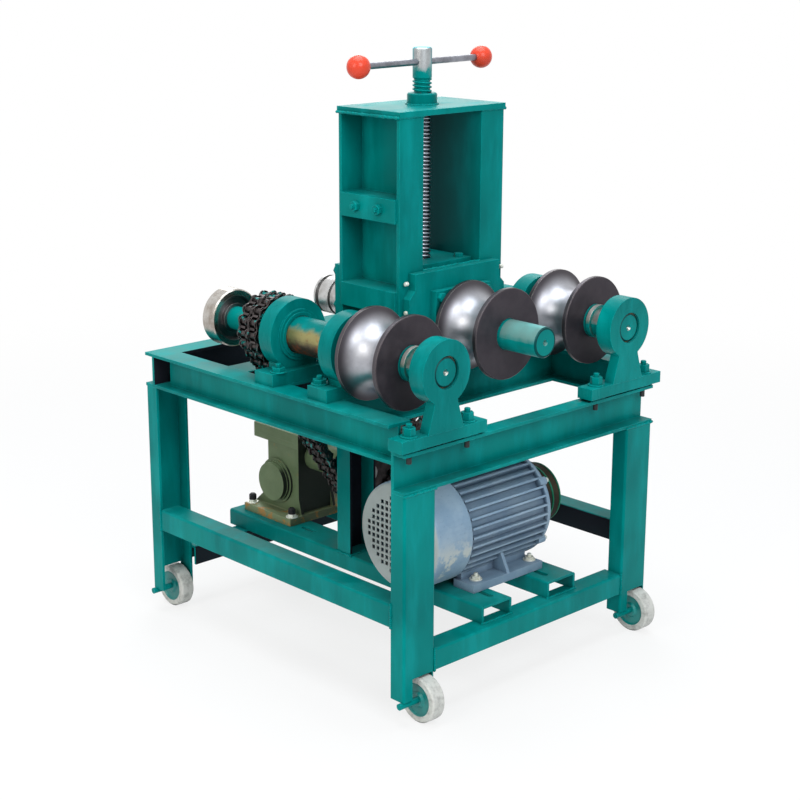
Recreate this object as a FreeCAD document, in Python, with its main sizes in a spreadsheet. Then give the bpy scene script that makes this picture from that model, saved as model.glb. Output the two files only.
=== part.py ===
import FreeCAD, Part
import math
import os
import Sketcher

# A motor-driven three-roller pipe bender on a castor frame.
# The origin is on the floor under the middle of the frame: +X right, +Y back, +Z up, millimetres.
# Two bottom rollers are driven by one duplex chain. The top roller hangs in a carriage
# that a hand-turned lead screw moves up and down between the tower's columns.

os.makedirs("parts", exist_ok=True)
document = FreeCAD.newDocument("PipeBender")
sheet = document.addObject("Spreadsheet::Sheet", "Sizes")


class Size:
    """A number together with the sheet expression that gives it."""

    def __init__(self, value, text):
        self.value = float(value)
        self.text = text

    def __add__(self, other):
        return combine(self, "+", other)

    def __radd__(self, other):
        return combine(other, "+", self)

    def __sub__(self, other):
        return combine(self, "-", other)

    def __rsub__(self, other):
        return combine(other, "-", self)

    def __mul__(self, other):
        return combine(self, "*", other)

    def __rmul__(self, other):
        return combine(other, "*", self)

    def __truediv__(self, other):
        return combine(self, "/", other)

    def __neg__(self):
        return combine(0, "-", self)


def number(size):
    return size.value if isinstance(size, Size) else float(size)


def wording(size):
    return size.text if isinstance(size, Size) else repr(float(size))


def combine(first, sign, second):
    a = number(first)
    b = number(second)
    results = {"+": a + b, "-": a - b, "*": a * b, "/": a / b if sign == "/" else 0.0}
    return Size(results[sign], f"({wording(first)} {sign} {wording(second)})")


def square_root(size):
    return Size(math.sqrt(size.value), f"sqrt({size.text})")


def bind(thing, name, size):
    """Give a property its value, and its expression where the value comes from the sheet."""
    if isinstance(size, Size):
        thing.setExpression(name, size.text)
        return
    if "." not in name:
        setattr(thing, name, size)


def place(thing, at, turn=None):
    base = FreeCAD.Vector(*[number(value) for value in at])
    thing.Placement = FreeCAD.Placement(base, turn or FreeCAD.Rotation())
    for axis, value in zip("xyz", at):
        bind(thing, f"Placement.Base.{axis}", value)


rows = []


def enter(alias, content, meaning):
    """Write one row of the sheet."""
    rows.append(alias)
    row = len(rows)
    sheet.set(f"A{row}", meaning)
    sheet.set(f"B{row}", content)
    sheet.setAlias(f"B{row}", alias)


def size(alias, value, meaning):
    """A driving size."""
    enter(alias, str(value), meaning)
    return Size(value, f"Sizes.{alias}")


def follows(alias, value, meaning):
    """A size that other sizes give, kept in the sheet as their formula."""
    enter(alias, "=" + value.text.replace("Sizes.", ""), meaning)
    return Size(value.value, f"Sizes.{alias}")


# ---------------------------------------------------------------- driving sizes

frame_width = size("frame_width", 560, "frame, outside, left to right")
frame_depth = size("frame_depth", 624, "frame, outside, front to back")
fit_gap = size("fit_gap", 0.3, "gap between pieces that move past each other")
running_gap = size("running_gap", 0.08, "gap all round a shaft in its bush")

leg_width = size("leg_width", 63, "leg channel, across its web")
leg_flange = size("leg_flange", 28, "leg channel, depth of its flanges")
leg_wall = size("leg_wall", 4.5, "leg channel, thickness")
notch_start = size("notch_start", 18, "leg's left side to the castor notch")
notch_width = size("notch_width", 40, "castor notch, width")
notch_gap = size("notch_gap", 3, "castor wheel to the top of its notch")

castor_radius = size("castor_radius", 36, "castor wheel, radius")
castor_width = size("castor_width", 25, "castor wheel, width")
castor_side = size("castor_side", 43.5, "leg's left side to the wheel's middle")
castor_reach = size("castor_reach", 5, "frame's end to the wheel's axle")
castor_axle = size("castor_axle", 5, "castor axle rod, radius")
castor_hub = size("castor_hub", 26, "castor wheel, radius of its dished face")

beam_height = size("beam_height", 57, "top beams, height")
beam_flange = size("beam_flange", 43, "top beams, width of their flanges")
beam_wall = size("beam_wall", 5, "top beams, thickness")
beam_top = size("beam_top", 459, "top of the side and cross beams")
front_drop = size("front_drop", 37, "top of the front beam below the other beams")
front_beam_height = size("front_beam_height", 62, "front beam, height")
bend_radius = size("bend_radius", 4, "channels, outer radius of their bends")
side_start = size("side_start", 33, "frame's front to the side beams' front end")

stretcher_depth = size("stretcher_depth", 38, "front and back stretchers, front to back")
stretcher_height = size("stretcher_height", 33.5, "front and back stretchers, height")
stretcher_wall = size("stretcher_wall", 4, "stretcher channels, thickness")
side_stretcher_width = size("side_stretcher_width", 40, "side stretchers, width")
side_stretcher_height = size("side_stretcher_height", 35.5, "side stretchers, height")
side_stretcher_low = size("side_stretcher_low", 152.7, "side stretchers, underside")
rail_low = size("rail_low", 109, "base rails, underside")
rail_height = size("rail_height", 28, "base rails, height")
rail_width = size("rail_width", 66, "base rails, width")
rail_wall = size("rail_wall", 4, "base rails, thickness")
rail_overhang = size("rail_overhang", 14, "base rails, reach past the frame's back")
rail_setback = size("rail_setback", 15, "frame's front to the base rails")
rail_left = size("rail_left", -100, "left base rail, its left side")
rail_right = size("rail_right", 50.5, "right base rail, its left side")

slot_half = size("slot_half", 5, "adjusting slots, half their width")
slot_long = size("slot_long", 26, "adjusting slots, length between the arcs")
slot_back = size("slot_back", 446, "frame's front to the slots by the gearbox")
slot_front = size("slot_front", 40, "frame's front to the slots by the motor")
slot_inset = size("slot_inset", 22, "base rail's inner side to the slots by the motor")
rear_member_gap = size("rear_member_gap", 16, "chain's back row to the rear cross member")
rear_member_depth = size("rear_member_depth", 54, "rear cross member, front to back")
rear_member_height = size("rear_member_height", 40, "rear cross member, height")
post_width = size("post_width", 57, "post, left to right")
post_depth = size("post_depth", 34, "post, front to back")
post_proud = size("post_proud", 4, "post's back behind the middle cross beam")

axis_inset = size("axis_inset", 75.5, "frame's side to each bottom roller's axis")
axis_rise = size("axis_rise", 71.6, "bottom rollers' axis above the beams")
top_axis_rise = size("top_axis_rise", 10.2, "top roller's axis above the bottom ones' at rest")

pedestal_front = size("pedestal_front", -7, "frame's front to the pedestal's face")
pedestal_thick = size("pedestal_thick", 28, "pedestal head, front to back")
pedestal_head = size("pedestal_head", 48, "pedestal head, radius")
pedestal_foot_long = size("pedestal_foot_long", 172, "pedestal foot, left to right")
pedestal_foot_deep = size("pedestal_foot_deep", 29, "pedestal foot, front to back")
pedestal_foot_thick = size("pedestal_foot_thick", 18, "pedestal foot, thickness")
pedestal_neck = size("pedestal_neck", 23, "pedestal neck, half its least width")
pedestal_neck_thick = size("pedestal_neck_thick", 18, "pedestal neck, front to back")
pedestal_spread = size("pedestal_spread", 36, "pedestal neck, half its width at the foot")
shim_height = size("shim_height", 4.5, "packing under each pedestal")
shim_long = size("shim_long", 30, "packing, left to right")
pedestal_shoulder = size("pedestal_shoulder", 44, "roller axis to the neck's shoulder")
pedestal_flare = size("pedestal_flare", 10, "height of the neck's spread foot")
pedestal_lip = size("pedestal_lip", 5, "pedestal head, lip in front of the bush")
pedestal_bolt_side = size("pedestal_bolt_side", 59, "roller axis to a pedestal bolt")
pedestal_nut_flats = size("pedestal_nut_flats", 17, "nuts on the pedestals, across flats")
pedestal_nut_high = size("pedestal_nut_high", 14, "nuts on the pedestals, height")
shim_deep = size("shim_deep", 26, "packing, front to back")

housing_radius = size("housing_radius", 56, "bearing housing head, radius")
housing_thick = size("housing_thick", 29, "bearing housing head, front to back")
housing_foot_long = size("housing_foot_long", 130, "bearing housing foot, left to right")
housing_foot_thick = size("housing_foot_thick", 20, "bearing housing foot, thickness")
housing_neck = size("housing_neck", 36, "bearing housing neck, half its width")
housing_shoulder = size("housing_shoulder", 28, "roller axis to the top of the neck's block")
housing_bolt_side = size("housing_bolt_side", 47, "roller axis to a housing bolt")
housing_bolt_inset = size("housing_bolt_inset", 7.3, "cross beam's free side to the housing bolts")
housing_step = size("housing_step", 4, "raised ring on a housing's face")
housing_ring = size("housing_ring", 40.3, "raised ring on a housing's face, radius")
foot_bolt_radius = size("foot_bolt_radius", 6, "bolts of the pedestals and housings, radius")
bolt_flats = size("bolt_flats", 19, "bolt heads, across flats")
bolt_head = size("bolt_head", 8, "bolt heads, height")
bolt_gap = size("bolt_gap", 0.5, "gap all round a bolt in its hole")
small_flats = size("small_flats", 13, "small bolt heads, across flats")
small_head = size("small_head", 6, "small bolt heads, height")
bush_wall = size("bush_wall", 6, "bronze bush, wall")

journal = size("journal", 22.5, "front journal, radius")
seat = size("seat", 25, "die seat and rear journals, radius")
sprocket_seat = size("sprocket_seat", 22, "sprocket seat, radius")
tail = size("tail", 19, "shaft's tail, radius")
tail_seat = size("tail_seat", 15, "rear disc's seat, radius")
sleeve_radius = size("sleeve_radius", 29, "sleeve between the housings, radius")
collar_radius = size("collar_radius", 27, "front collar, radius")
collar_width = size("collar_width", 12, "front collar, width")
shaft_recess = size("shaft_recess", 2, "pedestal's face to the shaft's end")
end_chamfer = size("end_chamfer", 1.8, "shafts' front ends, chamfer")
centre_mouth = size("centre_mouth", 5, "centre drilling of the shafts' front ends, radius")
centre_depth = size("centre_depth", 7, "centre drilling of the shafts' front ends, depth")
nose_radius = size("nose_radius", 24, "top shaft's nose in front of its die, radius")

die_front = size("die_front", 65, "frame's front to the roller dies")
die_width = size("die_width", 88, "roller die, width")
die_radius = size("die_radius", 71, "roller die, flange radius")
groove_radius = size("groove_radius", 37.5, "roller die, radius of the pipe groove")
groove_bottom = size("groove_bottom", 41, "roller die, radius at the groove's bottom")

disc_gap = size("disc_gap", 15, "rear cross member to the rear discs")
disc_width = size("disc_width", 29, "rear disc, width")
disc_radius = size("disc_radius", 47, "rear disc, radius")
disc_dish = size("disc_dish", 36, "rear disc, radius of its dished face")

pitch = size("pitch", 19.05, "chain pitch")
row_gap = size("row_gap", 22.8, "duplex chain, row to row")
row_clear = size("row_clear", 19.2, "middle cross beam to the chain's front row")
tooth_width = size("tooth_width", 11.6, "sprocket teeth, width")
roller_width = size("roller_width", 12.4, "chain rollers, width")
roller_radius = size("roller_radius", 5.9, "chain rollers, radius")
plate_thick = size("plate_thick", 2.4, "chain plates, thickness")
plate_height = size("plate_height", 17, "chain plates, height")
output_x = size("output_x", -17, "gearbox output shaft, left to right")

column_web = size("column_web", 63, "middle to a column's inner face")
column_wall = size("column_wall", 6, "column channel, thickness")
column_clear = size("column_clear", 91.5, "bottom roller's axis to a column's outer edge")
column_depth = size("column_depth", 136, "columns, front to back")
column_height = size("column_height", 407.4, "columns, height")
column_step = size("column_step", 9, "front cross beam's front to the columns' front")
column_land = size("column_land", 20, "middle cross beam's front to the columns' back")
top_plate = size("top_plate", 8.6, "tower's top plate, thickness")
top_plate_lap = size("top_plate_lap", 3, "top plate, reach past the columns' front")
bar_proud = size("bar_proud", 3, "column bars, reach past the columns' edges")
middle_bar_rise = size("middle_bar_rise", 248, "beams' top to the columns' middle bar")
low_bar_rise = size("low_bar_rise", 106, "beams' top to the columns' low bar")
bar_height = size("bar_height", 36.5, "column bars, height")
bar_bolt_side = size("bar_bolt_side", 25.5, "columns' middle to the bolts of a column bar")

carriage_drop = size("carriage_drop", 48.8, "top roller's axis to the carriage's underside")
carriage_rise = size("carriage_rise", 86.2, "top roller's axis to the carriage's top")
front_plate_thick = size("front_plate_thick", 14.7, "carriage front plate, thickness")
front_plate_half = size("front_plate_half", 93, "carriage front plate, half its width")
front_plate_flare = size("front_plate_flare", 12, "carriage front plate, flare at the bottom")
front_plate_neck = size("front_plate_neck", 23, "carriage's top to the front plate's flare")
front_plate_lap = size("front_plate_lap", 3, "front plate, reach over the carriage's top")
retainer_gap = size("retainer_gap", 7, "top roller's die to the bearing retainer")
retainer_thick = size("retainer_thick", 12, "bearing retainer, thickness")
retainer_half = size("retainer_half", 60, "bearing retainer, half its width")
retainer_screw = size("retainer_screw", 10, "bearing retainer's edges to its screws")
rear_plate_thick = size("rear_plate_thick", 12, "carriage rear plate, thickness")
rear_plate_half = size("rear_plate_half", 112, "carriage rear plate, half its width")
rear_screw_side = size("rear_screw_side", 9, "rear plate's sides to its screws")
rear_screw_top = size("rear_screw_top", 12, "carriage's top to the rear plate's upper screws")
rear_screw_low = size("rear_screw_low", 68, "carriage's underside to the rear plate's lower screws")
cap_thick = size("cap_thick", 7, "carriage cap, thickness")
cap_deep = size("cap_deep", 100, "carriage cap, front to back")
cap_screw_side = size("cap_screw_side", 46, "lead screw's axis to the cap's screws, sideways")
cap_screw_deep = size("cap_screw_deep", 38, "lead screw's axis to the cap's screws, lengthways")
top_journal = size("top_journal", 30, "top roller's journal, radius")
top_neck = size("top_neck", 25, "top shaft behind the carriage, radius")
top_tail = size("top_tail", 17, "top shaft's rear end, radius")
top_nose = size("top_nose", -11, "frame's front to the top shaft's nose")
top_shoulder = size("top_shoulder", 8, "carriage's back to the top shaft's step")
rear_die_gap = size("rear_die_gap", 37, "chain's back row to the top shaft's rear die")
rear_die_width = size("rear_die_width", 56, "top shaft's rear die, width")
rear_die_radius = size("rear_die_radius", 31, "top shaft's rear die, radius")
rear_die_lip = size("rear_die_lip", 1, "rear die's rims above its front end")
rear_die_rim = size("rear_die_rim", 4, "rear die's back rim, width")
rear_die_bed = size("rear_die_bed", 8, "rear die's wide groove, width")
rear_die_deep = size("rear_die_deep", 8, "rear die's wide groove, depth")
rear_die_slit = size("rear_die_slit", 5, "rear die's narrow groove, width")
rear_die_slit_deep = size("rear_die_slit_deep", 6, "rear die's narrow groove, depth")
rear_die_slit_front = size("rear_die_slit_front", 16, "rear die's front to its narrow groove")

screw_radius = size("screw_radius", 15, "lead screw, radius")
screw_stand = size("screw_stand", 87, "tower's top plate to the lead screw's top at rest")
screw_flange = size("screw_flange", 24, "lead screw's thrust flange, radius")
flange_thick = size("flange_thick", 9, "lead screw's thrust flange, thickness")
boss_radius = size("boss_radius", 23.5, "screw nut boss, radius")
boss_height = size("boss_height", 18, "screw nut boss, height")
bar_radius = size("bar_radius", 5, "tommy bar, radius")
bar_drop = size("bar_drop", 22, "lead screw's top to the tommy bar")
ball_radius = size("ball_radius", 18, "ball knobs, radius")
ball_spacing = size("ball_spacing", 296, "ball knobs, centre to centre")
ball_socket = size("ball_socket", 6, "tommy bar's reach into each ball knob")
ball_flat = size("ball_flat", 1, "ball knobs, depth of the flat round the bar")
bar_turn = size("bar_turn", 6, "tommy bar's angle at rest, degrees")

motor_y = size("motor_y", 150, "frame's front to the motor's axis")
motor_height = size("motor_height", 90, "motor's axis above its feet")
motor_start = size("motor_start", -72, "motor body, its left end")
motor_long = size("motor_long", 177, "motor body, length")
motor_radius = size("motor_radius", 78, "motor body, radius under the fins")
motor_bore = size("motor_bore", 46, "motor body, bore")
motor_gap = size("motor_gap", 0.4, "motor, gap between rotor and stator")
fin_radius = size("fin_radius", 87, "motor fins, outer radius")
fin_thick = size("fin_thick", 3.4, "motor fins, thickness")
fin_margin = size("fin_margin", 2, "motor fins, short of the body's ends")
fan_radius = size("fan_radius", 68, "fan, radius")
fan_long = size("fan_long", 30, "fan, hub length")
fan_hub = size("fan_hub", 8, "fan hub, wall")
fan_blade = size("fan_blade", 3, "fan blades, thickness")
fan_back = size("fan_back", 32, "motor body's left end to the fan")
cowl_long = size("cowl_long", 77, "fan cover, length")
cowl_wall = size("cowl_wall", 1.5, "fan cover, wall")
cowl_lap = size("cowl_lap", 0.5, "fan cover, outside above the fins")
cowl_edge = size("cowl_edge", 10, "fan cover, width of its sloped edge")
cowl_fit = size("cowl_fit", 0.1, "fan cover to the end bell inside it")
cowl_gap = size("cowl_gap", 1, "motor body to the fan cover")
bell_long = size("bell_long", 30, "drive-end bell, length")
bell_thick = size("bell_thick", 14, "fan-end bell, length")
bell_hub = size("bell_hub", 14, "drive-end bell, wall round the shaft")
bell_step = size("bell_step", 8, "drive-end bell, depth of its rim and of its hub's slope")
rotor_radius = size("rotor_radius", 12, "motor shaft, radius")
rotor_end = size("rotor_end", 182, "motor shaft, its right end")
foot_start = size("foot_start", -70, "motor feet, their left end")
foot_long = size("foot_long", 160, "motor feet, length")
foot_outer = size("foot_outer", 88, "motor's axis to the outside of its feet")
foot_inner = size("foot_inner", 44, "motor's axis to the inside of its feet")
foot_thick = size("foot_thick", 13, "motor feet, thickness")
foot_wall = size("foot_wall", 55, "motor's axis to the outside of the feet's walls")
foot_gusset = size("foot_gusset", 6, "motor feet, thickness of the middle gusset")
motor_bolt_side = size("motor_bolt_side", 70, "motor's axis to its bolts")
motor_bolt_left = size("motor_bolt_left", 53, "left base rail's outer side to the motor's bolts")
motor_bolt_right = size("motor_bolt_right", 27.5, "right base rail's inner side to the motor's bolts")
drive_bolt_radius = size("drive_bolt_radius", 4.5, "motor and gearbox bolts, radius")
terminal_reach = size("terminal_reach", 34, "terminal box, reach past the fins")
terminal_half = size("terminal_half", 34, "terminal box, half its height")
terminal_start = size("terminal_start", -26, "terminal box, its left end")
terminal_long = size("terminal_long", 84, "terminal box, length")

pulley_start = size("pulley_start", 140, "pulleys, their left face")
pulley_width = size("pulley_width", 36, "pulleys, width")
motor_pulley_radius = size("motor_pulley_radius", 50, "motor pulley, radius")
input_pulley_radius = size("input_pulley_radius", 80, "gearbox pulley, radius")
belt_width = size("belt_width", 12, "belts, width")
belt_thick = size("belt_thick", 8, "belts, thickness")
belt_gap = size("belt_gap", 0.5, "belt to the sides and bottom of its groove")

belt_margin = size("belt_margin", 9.4, "pulleys' faces to the middle of their grooves")
belt_flare = size("belt_flare", 0.8, "pulley grooves, widening at the mouth on each side")
worm_inset = size("worm_inset", 70, "frame's back to the worm's axis")
worm_height = size("worm_height", 65, "worm's axis above the base rails")
centre_distance = size("centre_distance", 50, "worm's axis to the worm wheel's axis")
box_half_y = size("box_half_y", 60, "gearbox flange, half its depth")
box_inset = size("box_inset", 3.5, "gearbox flange, reach past the side walls")
box_lap_front = size("box_lap_front", 4, "gearbox flange, reach past the front wall")
box_lap_back = size("box_lap_back", 34, "gearbox flange, reach past the back wall")
box_wall = size("box_wall", 5, "gearbox wall")
box_flange = size("box_flange", 9, "gearbox flange, thickness")
split_rise = size("split_rise", 28, "worm wheel's axis to the gearbox's joint")
wheel_side_gap = size("wheel_side_gap", 0.8, "worm wheel to the gearbox's side walls")
wheel_top_gap = size("wheel_top_gap", 6.3, "worm wheel to the inside of the cover")
gusset_thick = size("gusset_thick", 6, "gearbox foot's gussets, thickness")
gusset_high = size("gusset_high", 34, "gearbox foot's gussets, height")
box_foot_edge = size("box_foot_edge", 11.5, "gearbox foot's ends to its bolts")
box_foot_deep = size("box_foot_deep", 127, "gearbox foot, front to back")
box_foot_thick = size("box_foot_thick", 13, "gearbox foot, thickness")
box_bolt_side = size("box_bolt_side", 54, "worm's axis to the gearbox bolts")
box_bolt_left = size("box_bolt_left", 29, "left base rail's outer side to the gearbox's bolts")
box_bolt_right = size("box_bolt_right", 33, "right base rail's inner side to the gearbox's bolts")
worm_radius = size("worm_radius", 16, "worm, radius")
worm_long = size("worm_long", 56, "worm, length")
worm_shaft_radius = size("worm_shaft_radius", 11, "worm shaft, radius")
wheel_width = size("wheel_width", 26, "worm wheel, width")
output_radius = size("output_radius", 15, "output shaft, radius")
nose_clear = size("nose_clear", 30, "output sprocket to the gearbox's bearing nose")
nose_wall = size("nose_wall", 10, "gearbox's bearing nose, wall")
cap_radius = size("cap_radius", 36, "worm bearing caps, radius")
cap_step = size("cap_step", 4, "worm bearing rings, step of each ring")
cap_proud = size("cap_proud", 8, "worm bearing caps, thickness")
worm_nose_end = size("worm_nose_end", 90, "worm's bearing nose, its right end")
hub_wall = size("hub_wall", 9, "sprocket hubs, wall")
idler_pin = size("idler_pin", 10, "idler sprocket's pin, radius")
bracket_half = size("bracket_half", 26, "idler bracket, half its width")
bracket_thick = size("bracket_thick", 10, "idler bracket, thickness")
bracket_drop = size("bracket_drop", 18, "idler bracket, reach below the idler's axis")

roller_teeth = 16
idler_teeth = 12


def from_front(distance):
    """Turn a distance from the frame's front face into a place along Y."""
    return distance - frame_depth / 2


front_face = from_front(0)
back_face = frame_depth / 2
left_face = -frame_width / 2
right_face = frame_width / 2

# Heights, from the floor up.
leg_low = castor_radius + castor_axle
front_top = follows("front_top", beam_top - front_drop, "top of the front beam")
axis_height = follows("axis_height", beam_top + axis_rise, "bottom rollers' axis")
top_axis_height = follows("top_axis_height", axis_height + top_axis_rise, "top roller's axis")
carriage_low = follows("carriage_low", top_axis_height - carriage_drop, "carriage, underside")
carriage_top = follows("carriage_top", top_axis_height + carriage_rise, "carriage, top")
column_top = follows("column_top", beam_top + column_height, "columns, top")
middle_bar_low = beam_top + middle_bar_rise
low_bar_low = beam_top + low_bar_rise
screw_top = follows("screw_top", column_top + top_plate + screw_stand, "lead screw, top")
bar_high = screw_top - bar_drop
rail_top = rail_low + rail_height
motor_z = rail_top + motor_height
worm_z = rail_top + worm_height
output_z = worm_z + centre_distance
box_split = output_z + split_rise

# Places from left to right.
axis_side = follows("axis_side", frame_width / 2 - axis_inset, "middle to a bottom roller's axis")
column_out = follows("column_out", axis_side - column_clear, "middle to a column's outer edge")
bar_reach = column_out + bar_proud - column_web - column_wall
post_left = rail_left
wheel_radius = centre_distance - worm_radius - fit_gap
box_half_x = follows("box_half_x", wheel_radius + wheel_side_gap + box_wall + box_inset,
                     "gearbox flange, half its width")

# Distances from the frame's front, along the shafts.
die_back = die_front + die_width
column_front = follows("column_front", die_back + retainer_gap + retainer_thick
                       + front_plate_thick + fit_gap, "columns, front")
column_back = follows("column_back", column_front + column_depth, "columns, back")
screw_y = (column_front + column_back) / 2
tower_beam_front = follows("tower_beam_front", column_front - column_step, "front cross beam")
middle_beam_front = follows("middle_beam_front", column_back - column_land, "middle cross beam")
middle_beam_back = middle_beam_front + beam_flange
rear_housing_front = middle_beam_back - housing_thick
front_housing_back = tower_beam_front + housing_thick
row_front = follows("row_front", middle_beam_back + row_clear, "chain's front row")
row_back = follows("row_back", row_front + row_gap, "chain's back row")
rear_member_front = follows("rear_member_front", row_back + rear_member_gap, "rear cross member")
disc_front = follows("disc_front", rear_member_front + rear_member_depth + disc_gap, "rear discs")
worm_y = follows("worm_y", frame_depth - worm_inset, "worm's axis")

# ---------------------------------------------------------------- drawing tools

PLANES = {"top": "XY_Plane", "front": "XZ_Plane", "side": "YZ_Plane"}
ALONG_Y = FreeCAD.Rotation(FreeCAD.Vector(0, 0, 1), 90)
ALONG_Z = FreeCAD.Rotation(FreeCAD.Vector(0, 1, 0), -90)
pieces = []


def arc_between(start, end, radius, turn):
    """The arc of less than half a turn from start to end; turn is 1 for anticlockwise."""
    chord = end - start
    half = chord.Length / 2
    rise = math.sqrt(max(radius * radius - half * half, 0.0))
    across = FreeCAD.Vector(-chord.y, chord.x, 0).normalize()
    centre = (start + end) * 0.5 + across * (rise * turn)
    first, last = (start, end) if turn > 0 else (end, start)
    angles = [math.atan2(point.y - centre.y, point.x - centre.x) for point in (first, last)]
    circle = Part.Circle(centre, FreeCAD.Vector(0, 0, 1), radius)
    return Part.ArcOfCircle(circle, angles[0], angles[1])


def draw_loop(sketch, corners, rules, links):
    """One closed outline. A corner is (across, up), or (across, up, radius, turn) before an arc."""
    first = sketch.GeometryCount
    ends = []
    for index, corner in enumerate(corners):
        following = corners[(index + 1) % len(corners)]
        start = FreeCAD.Vector(number(corner[0]), number(corner[1]), 0)
        end = FreeCAD.Vector(number(following[0]), number(following[1]), 0)
        if len(corner) == 2:
            sketch.addGeometry(Part.LineSegment(start, end), False)
            ends.append((1, 2))
        else:
            sketch.addGeometry(arc_between(start, end, number(corner[2]), corner[3]), False)
            ends.append((1, 2) if corner[3] > 0 else (2, 1))
    for index, corner in enumerate(corners):
        this = first + index
        following = first + (index + 1) % len(corners)
        next_start = ends[(index + 1) % len(corners)][0]
        rules.append(Sketcher.Constraint("Coincident", this, ends[index][1], following, next_start))
        for kind, value in zip(("DistanceX", "DistanceY"), corner[:2]):
            links.append((len(rules), value))
            rules.append(Sketcher.Constraint(kind, -1, 1, this, ends[index][0], number(value)))
        if len(corner) == 4:
            links.append((len(rules), corner[2]))
            rules.append(Sketcher.Constraint("Radius", this, number(corner[2])))


def draw_circle(sketch, across, up, radius, rules, links):
    this = sketch.GeometryCount
    centre = FreeCAD.Vector(number(across), number(up), 0)
    circle = Part.Circle(centre, FreeCAD.Vector(0, 0, 1), number(radius))
    sketch.addGeometry(circle, False)
    for kind, value in zip(("DistanceX", "DistanceY"), (across, up)):
        links.append((len(rules), value))
        rules.append(Sketcher.Constraint(kind, -1, 1, this, 3, number(value)))
    links.append((len(rules), radius))
    rules.append(Sketcher.Constraint("Radius", this, number(radius)))


class Piece:
    """One named sub-part, built from sketches in its own body."""

    def __init__(self, label, at=(0, 0, 0), turn=None):
        self.body = document.addObject("PartDesign::Body", label)
        self.body.Label = label
        self.body.AllowCompound = True
        place(self.body, at, turn)
        pieces.append(self.body)

    def sketch(self, plane, loops, offset=0):
        sketch = self.body.newObject("Sketcher::SketchObject", "Sketch")
        features = self.body.Origin.OriginFeatures
        support = [item for item in features if item.Role == PLANES[plane]][0]
        sketch.AttachmentSupport = [(support, "")]
        sketch.MapMode = "FlatFace"
        shift = -offset if plane == "front" else offset
        sketch.AttachmentOffset = FreeCAD.Placement(FreeCAD.Vector(0, 0, number(shift)),
                                                    FreeCAD.Rotation())
        bind(sketch, "AttachmentOffset.Base.z", shift)
        rules = []
        links = []
        for loop in loops:
            if loop[0] == "circle":
                draw_circle(sketch, *loop[1:], rules, links)
            else:
                draw_loop(sketch, loop, rules, links)
        sketch.addConstraint(rules)
        for index, value in links:
            if isinstance(value, Size):
                sketch.setExpression(f"Constraints[{index}]", value.text)
        return sketch

    def pad(self, plane, loops, start, length):
        """Extrude towards +Z, +Y or +X from start."""
        feature = self.body.newObject("PartDesign::Pad", "Pad")
        feature.Profile = self.sketch(plane, loops, start)
        feature.Reversed = plane == "front"
        bind(feature, "Length", length)
        return feature

    def pocket(self, plane, loops, start, length):
        """Cut towards +Z, +Y or +X from start."""
        feature = self.body.newObject("PartDesign::Pocket", "Pocket")
        feature.Profile = self.sketch(plane, loops, start)
        feature.Reversed = plane != "front"
        bind(feature, "Length", length)
        return feature

    def turned(self, loops):
        """Turn outlines of (along, radius) about the body's own X axis."""
        feature = self.body.newObject("PartDesign::Revolution", "Turned")
        sketch = self.sketch("top", loops)
        feature.Profile = sketch
        feature.ReferenceAxis = (sketch, ["H_Axis"])
        feature.Angle = 360
        return feature

    def ring(self, feature, count):
        """Repeat a feature evenly about the body's own X axis."""
        pattern = self.body.newObject("PartDesign::PolarPattern", "Ring")
        features = self.body.Origin.OriginFeatures
        axis = [item for item in features if item.Role == "X_Axis"][0]
        pattern.Originals = [feature]
        pattern.Axis = (axis, [""])
        pattern.Angle = 360
        pattern.Occurrences = count
        self.body.Tip = pattern
        return pattern


def box(x_low, x_high, y_low, y_high):
    return [(x_low, y_low), (x_high, y_low), (x_high, y_high), (x_low, y_high)]


def i_section(middle, low, width, height, wall):
    half = width / 2
    web = wall / 2
    high = low + height
    return [
        (middle - half, low), (middle + half, low), (middle + half, low + wall),
        (middle + web, low + wall), (middle + web, high - wall), (middle + half, high - wall),
        (middle + half, high), (middle - half, high), (middle - half, high - wall),
        (middle - web, high - wall), (middle - web, low + wall), (middle - half, low + wall),
    ]


def channel(x_low, x_high, y_back, y_open, wall):
    """A bent channel whose web lies at y_back and whose flanges reach y_open."""
    turn = 1 if number(y_open) > number(y_back) else -1
    inner = y_back + wall * turn
    bend = y_back + bend_radius * turn
    return [
        (x_low + bend_radius, y_back), (x_high - bend_radius, y_back, bend_radius, turn),
        (x_high, bend), (x_high, y_open), (x_high - wall, y_open),
        (x_high - wall, inner), (x_low + wall, inner), (x_low + wall, y_open), (x_low, y_open),
        (x_low, bend, bend_radius, turn),
    ]


def hexagon(across, up, flats):
    corner = flats / math.sqrt(3)
    corners = []
    for index in range(6):
        angle = math.radians(60 * index)
        corners.append((across + corner * math.cos(angle), up + corner * math.sin(angle)))
    return corners


def tube(start, end, outer, inner):
    """Half section of a plain ring for turning."""
    return [(start, inner), (end, inner), (end, outer), (start, outer)]


def stepped(steps):
    """Half section of a stepped shaft: (start, end, radius) in order along the axis."""
    outline = [(steps[0][0], 0)]
    for start, end, radius in steps:
        outline += [(start, radius), (end, radius)]
    outline.append((steps[-1][1], 0))
    return outline


def centred(outline):
    """Give a shaft's front end its chamfer and the cone of its centre drilling."""
    start = outline[0][0]
    radius = outline[1][1]
    nose = [(start + centre_depth, 0), (start, centre_mouth), (start, radius - end_chamfer),
            (start + end_chamfer, radius)]
    return nose + outline[2:]


# ---------------------------------------------------------------- welded frame

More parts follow.
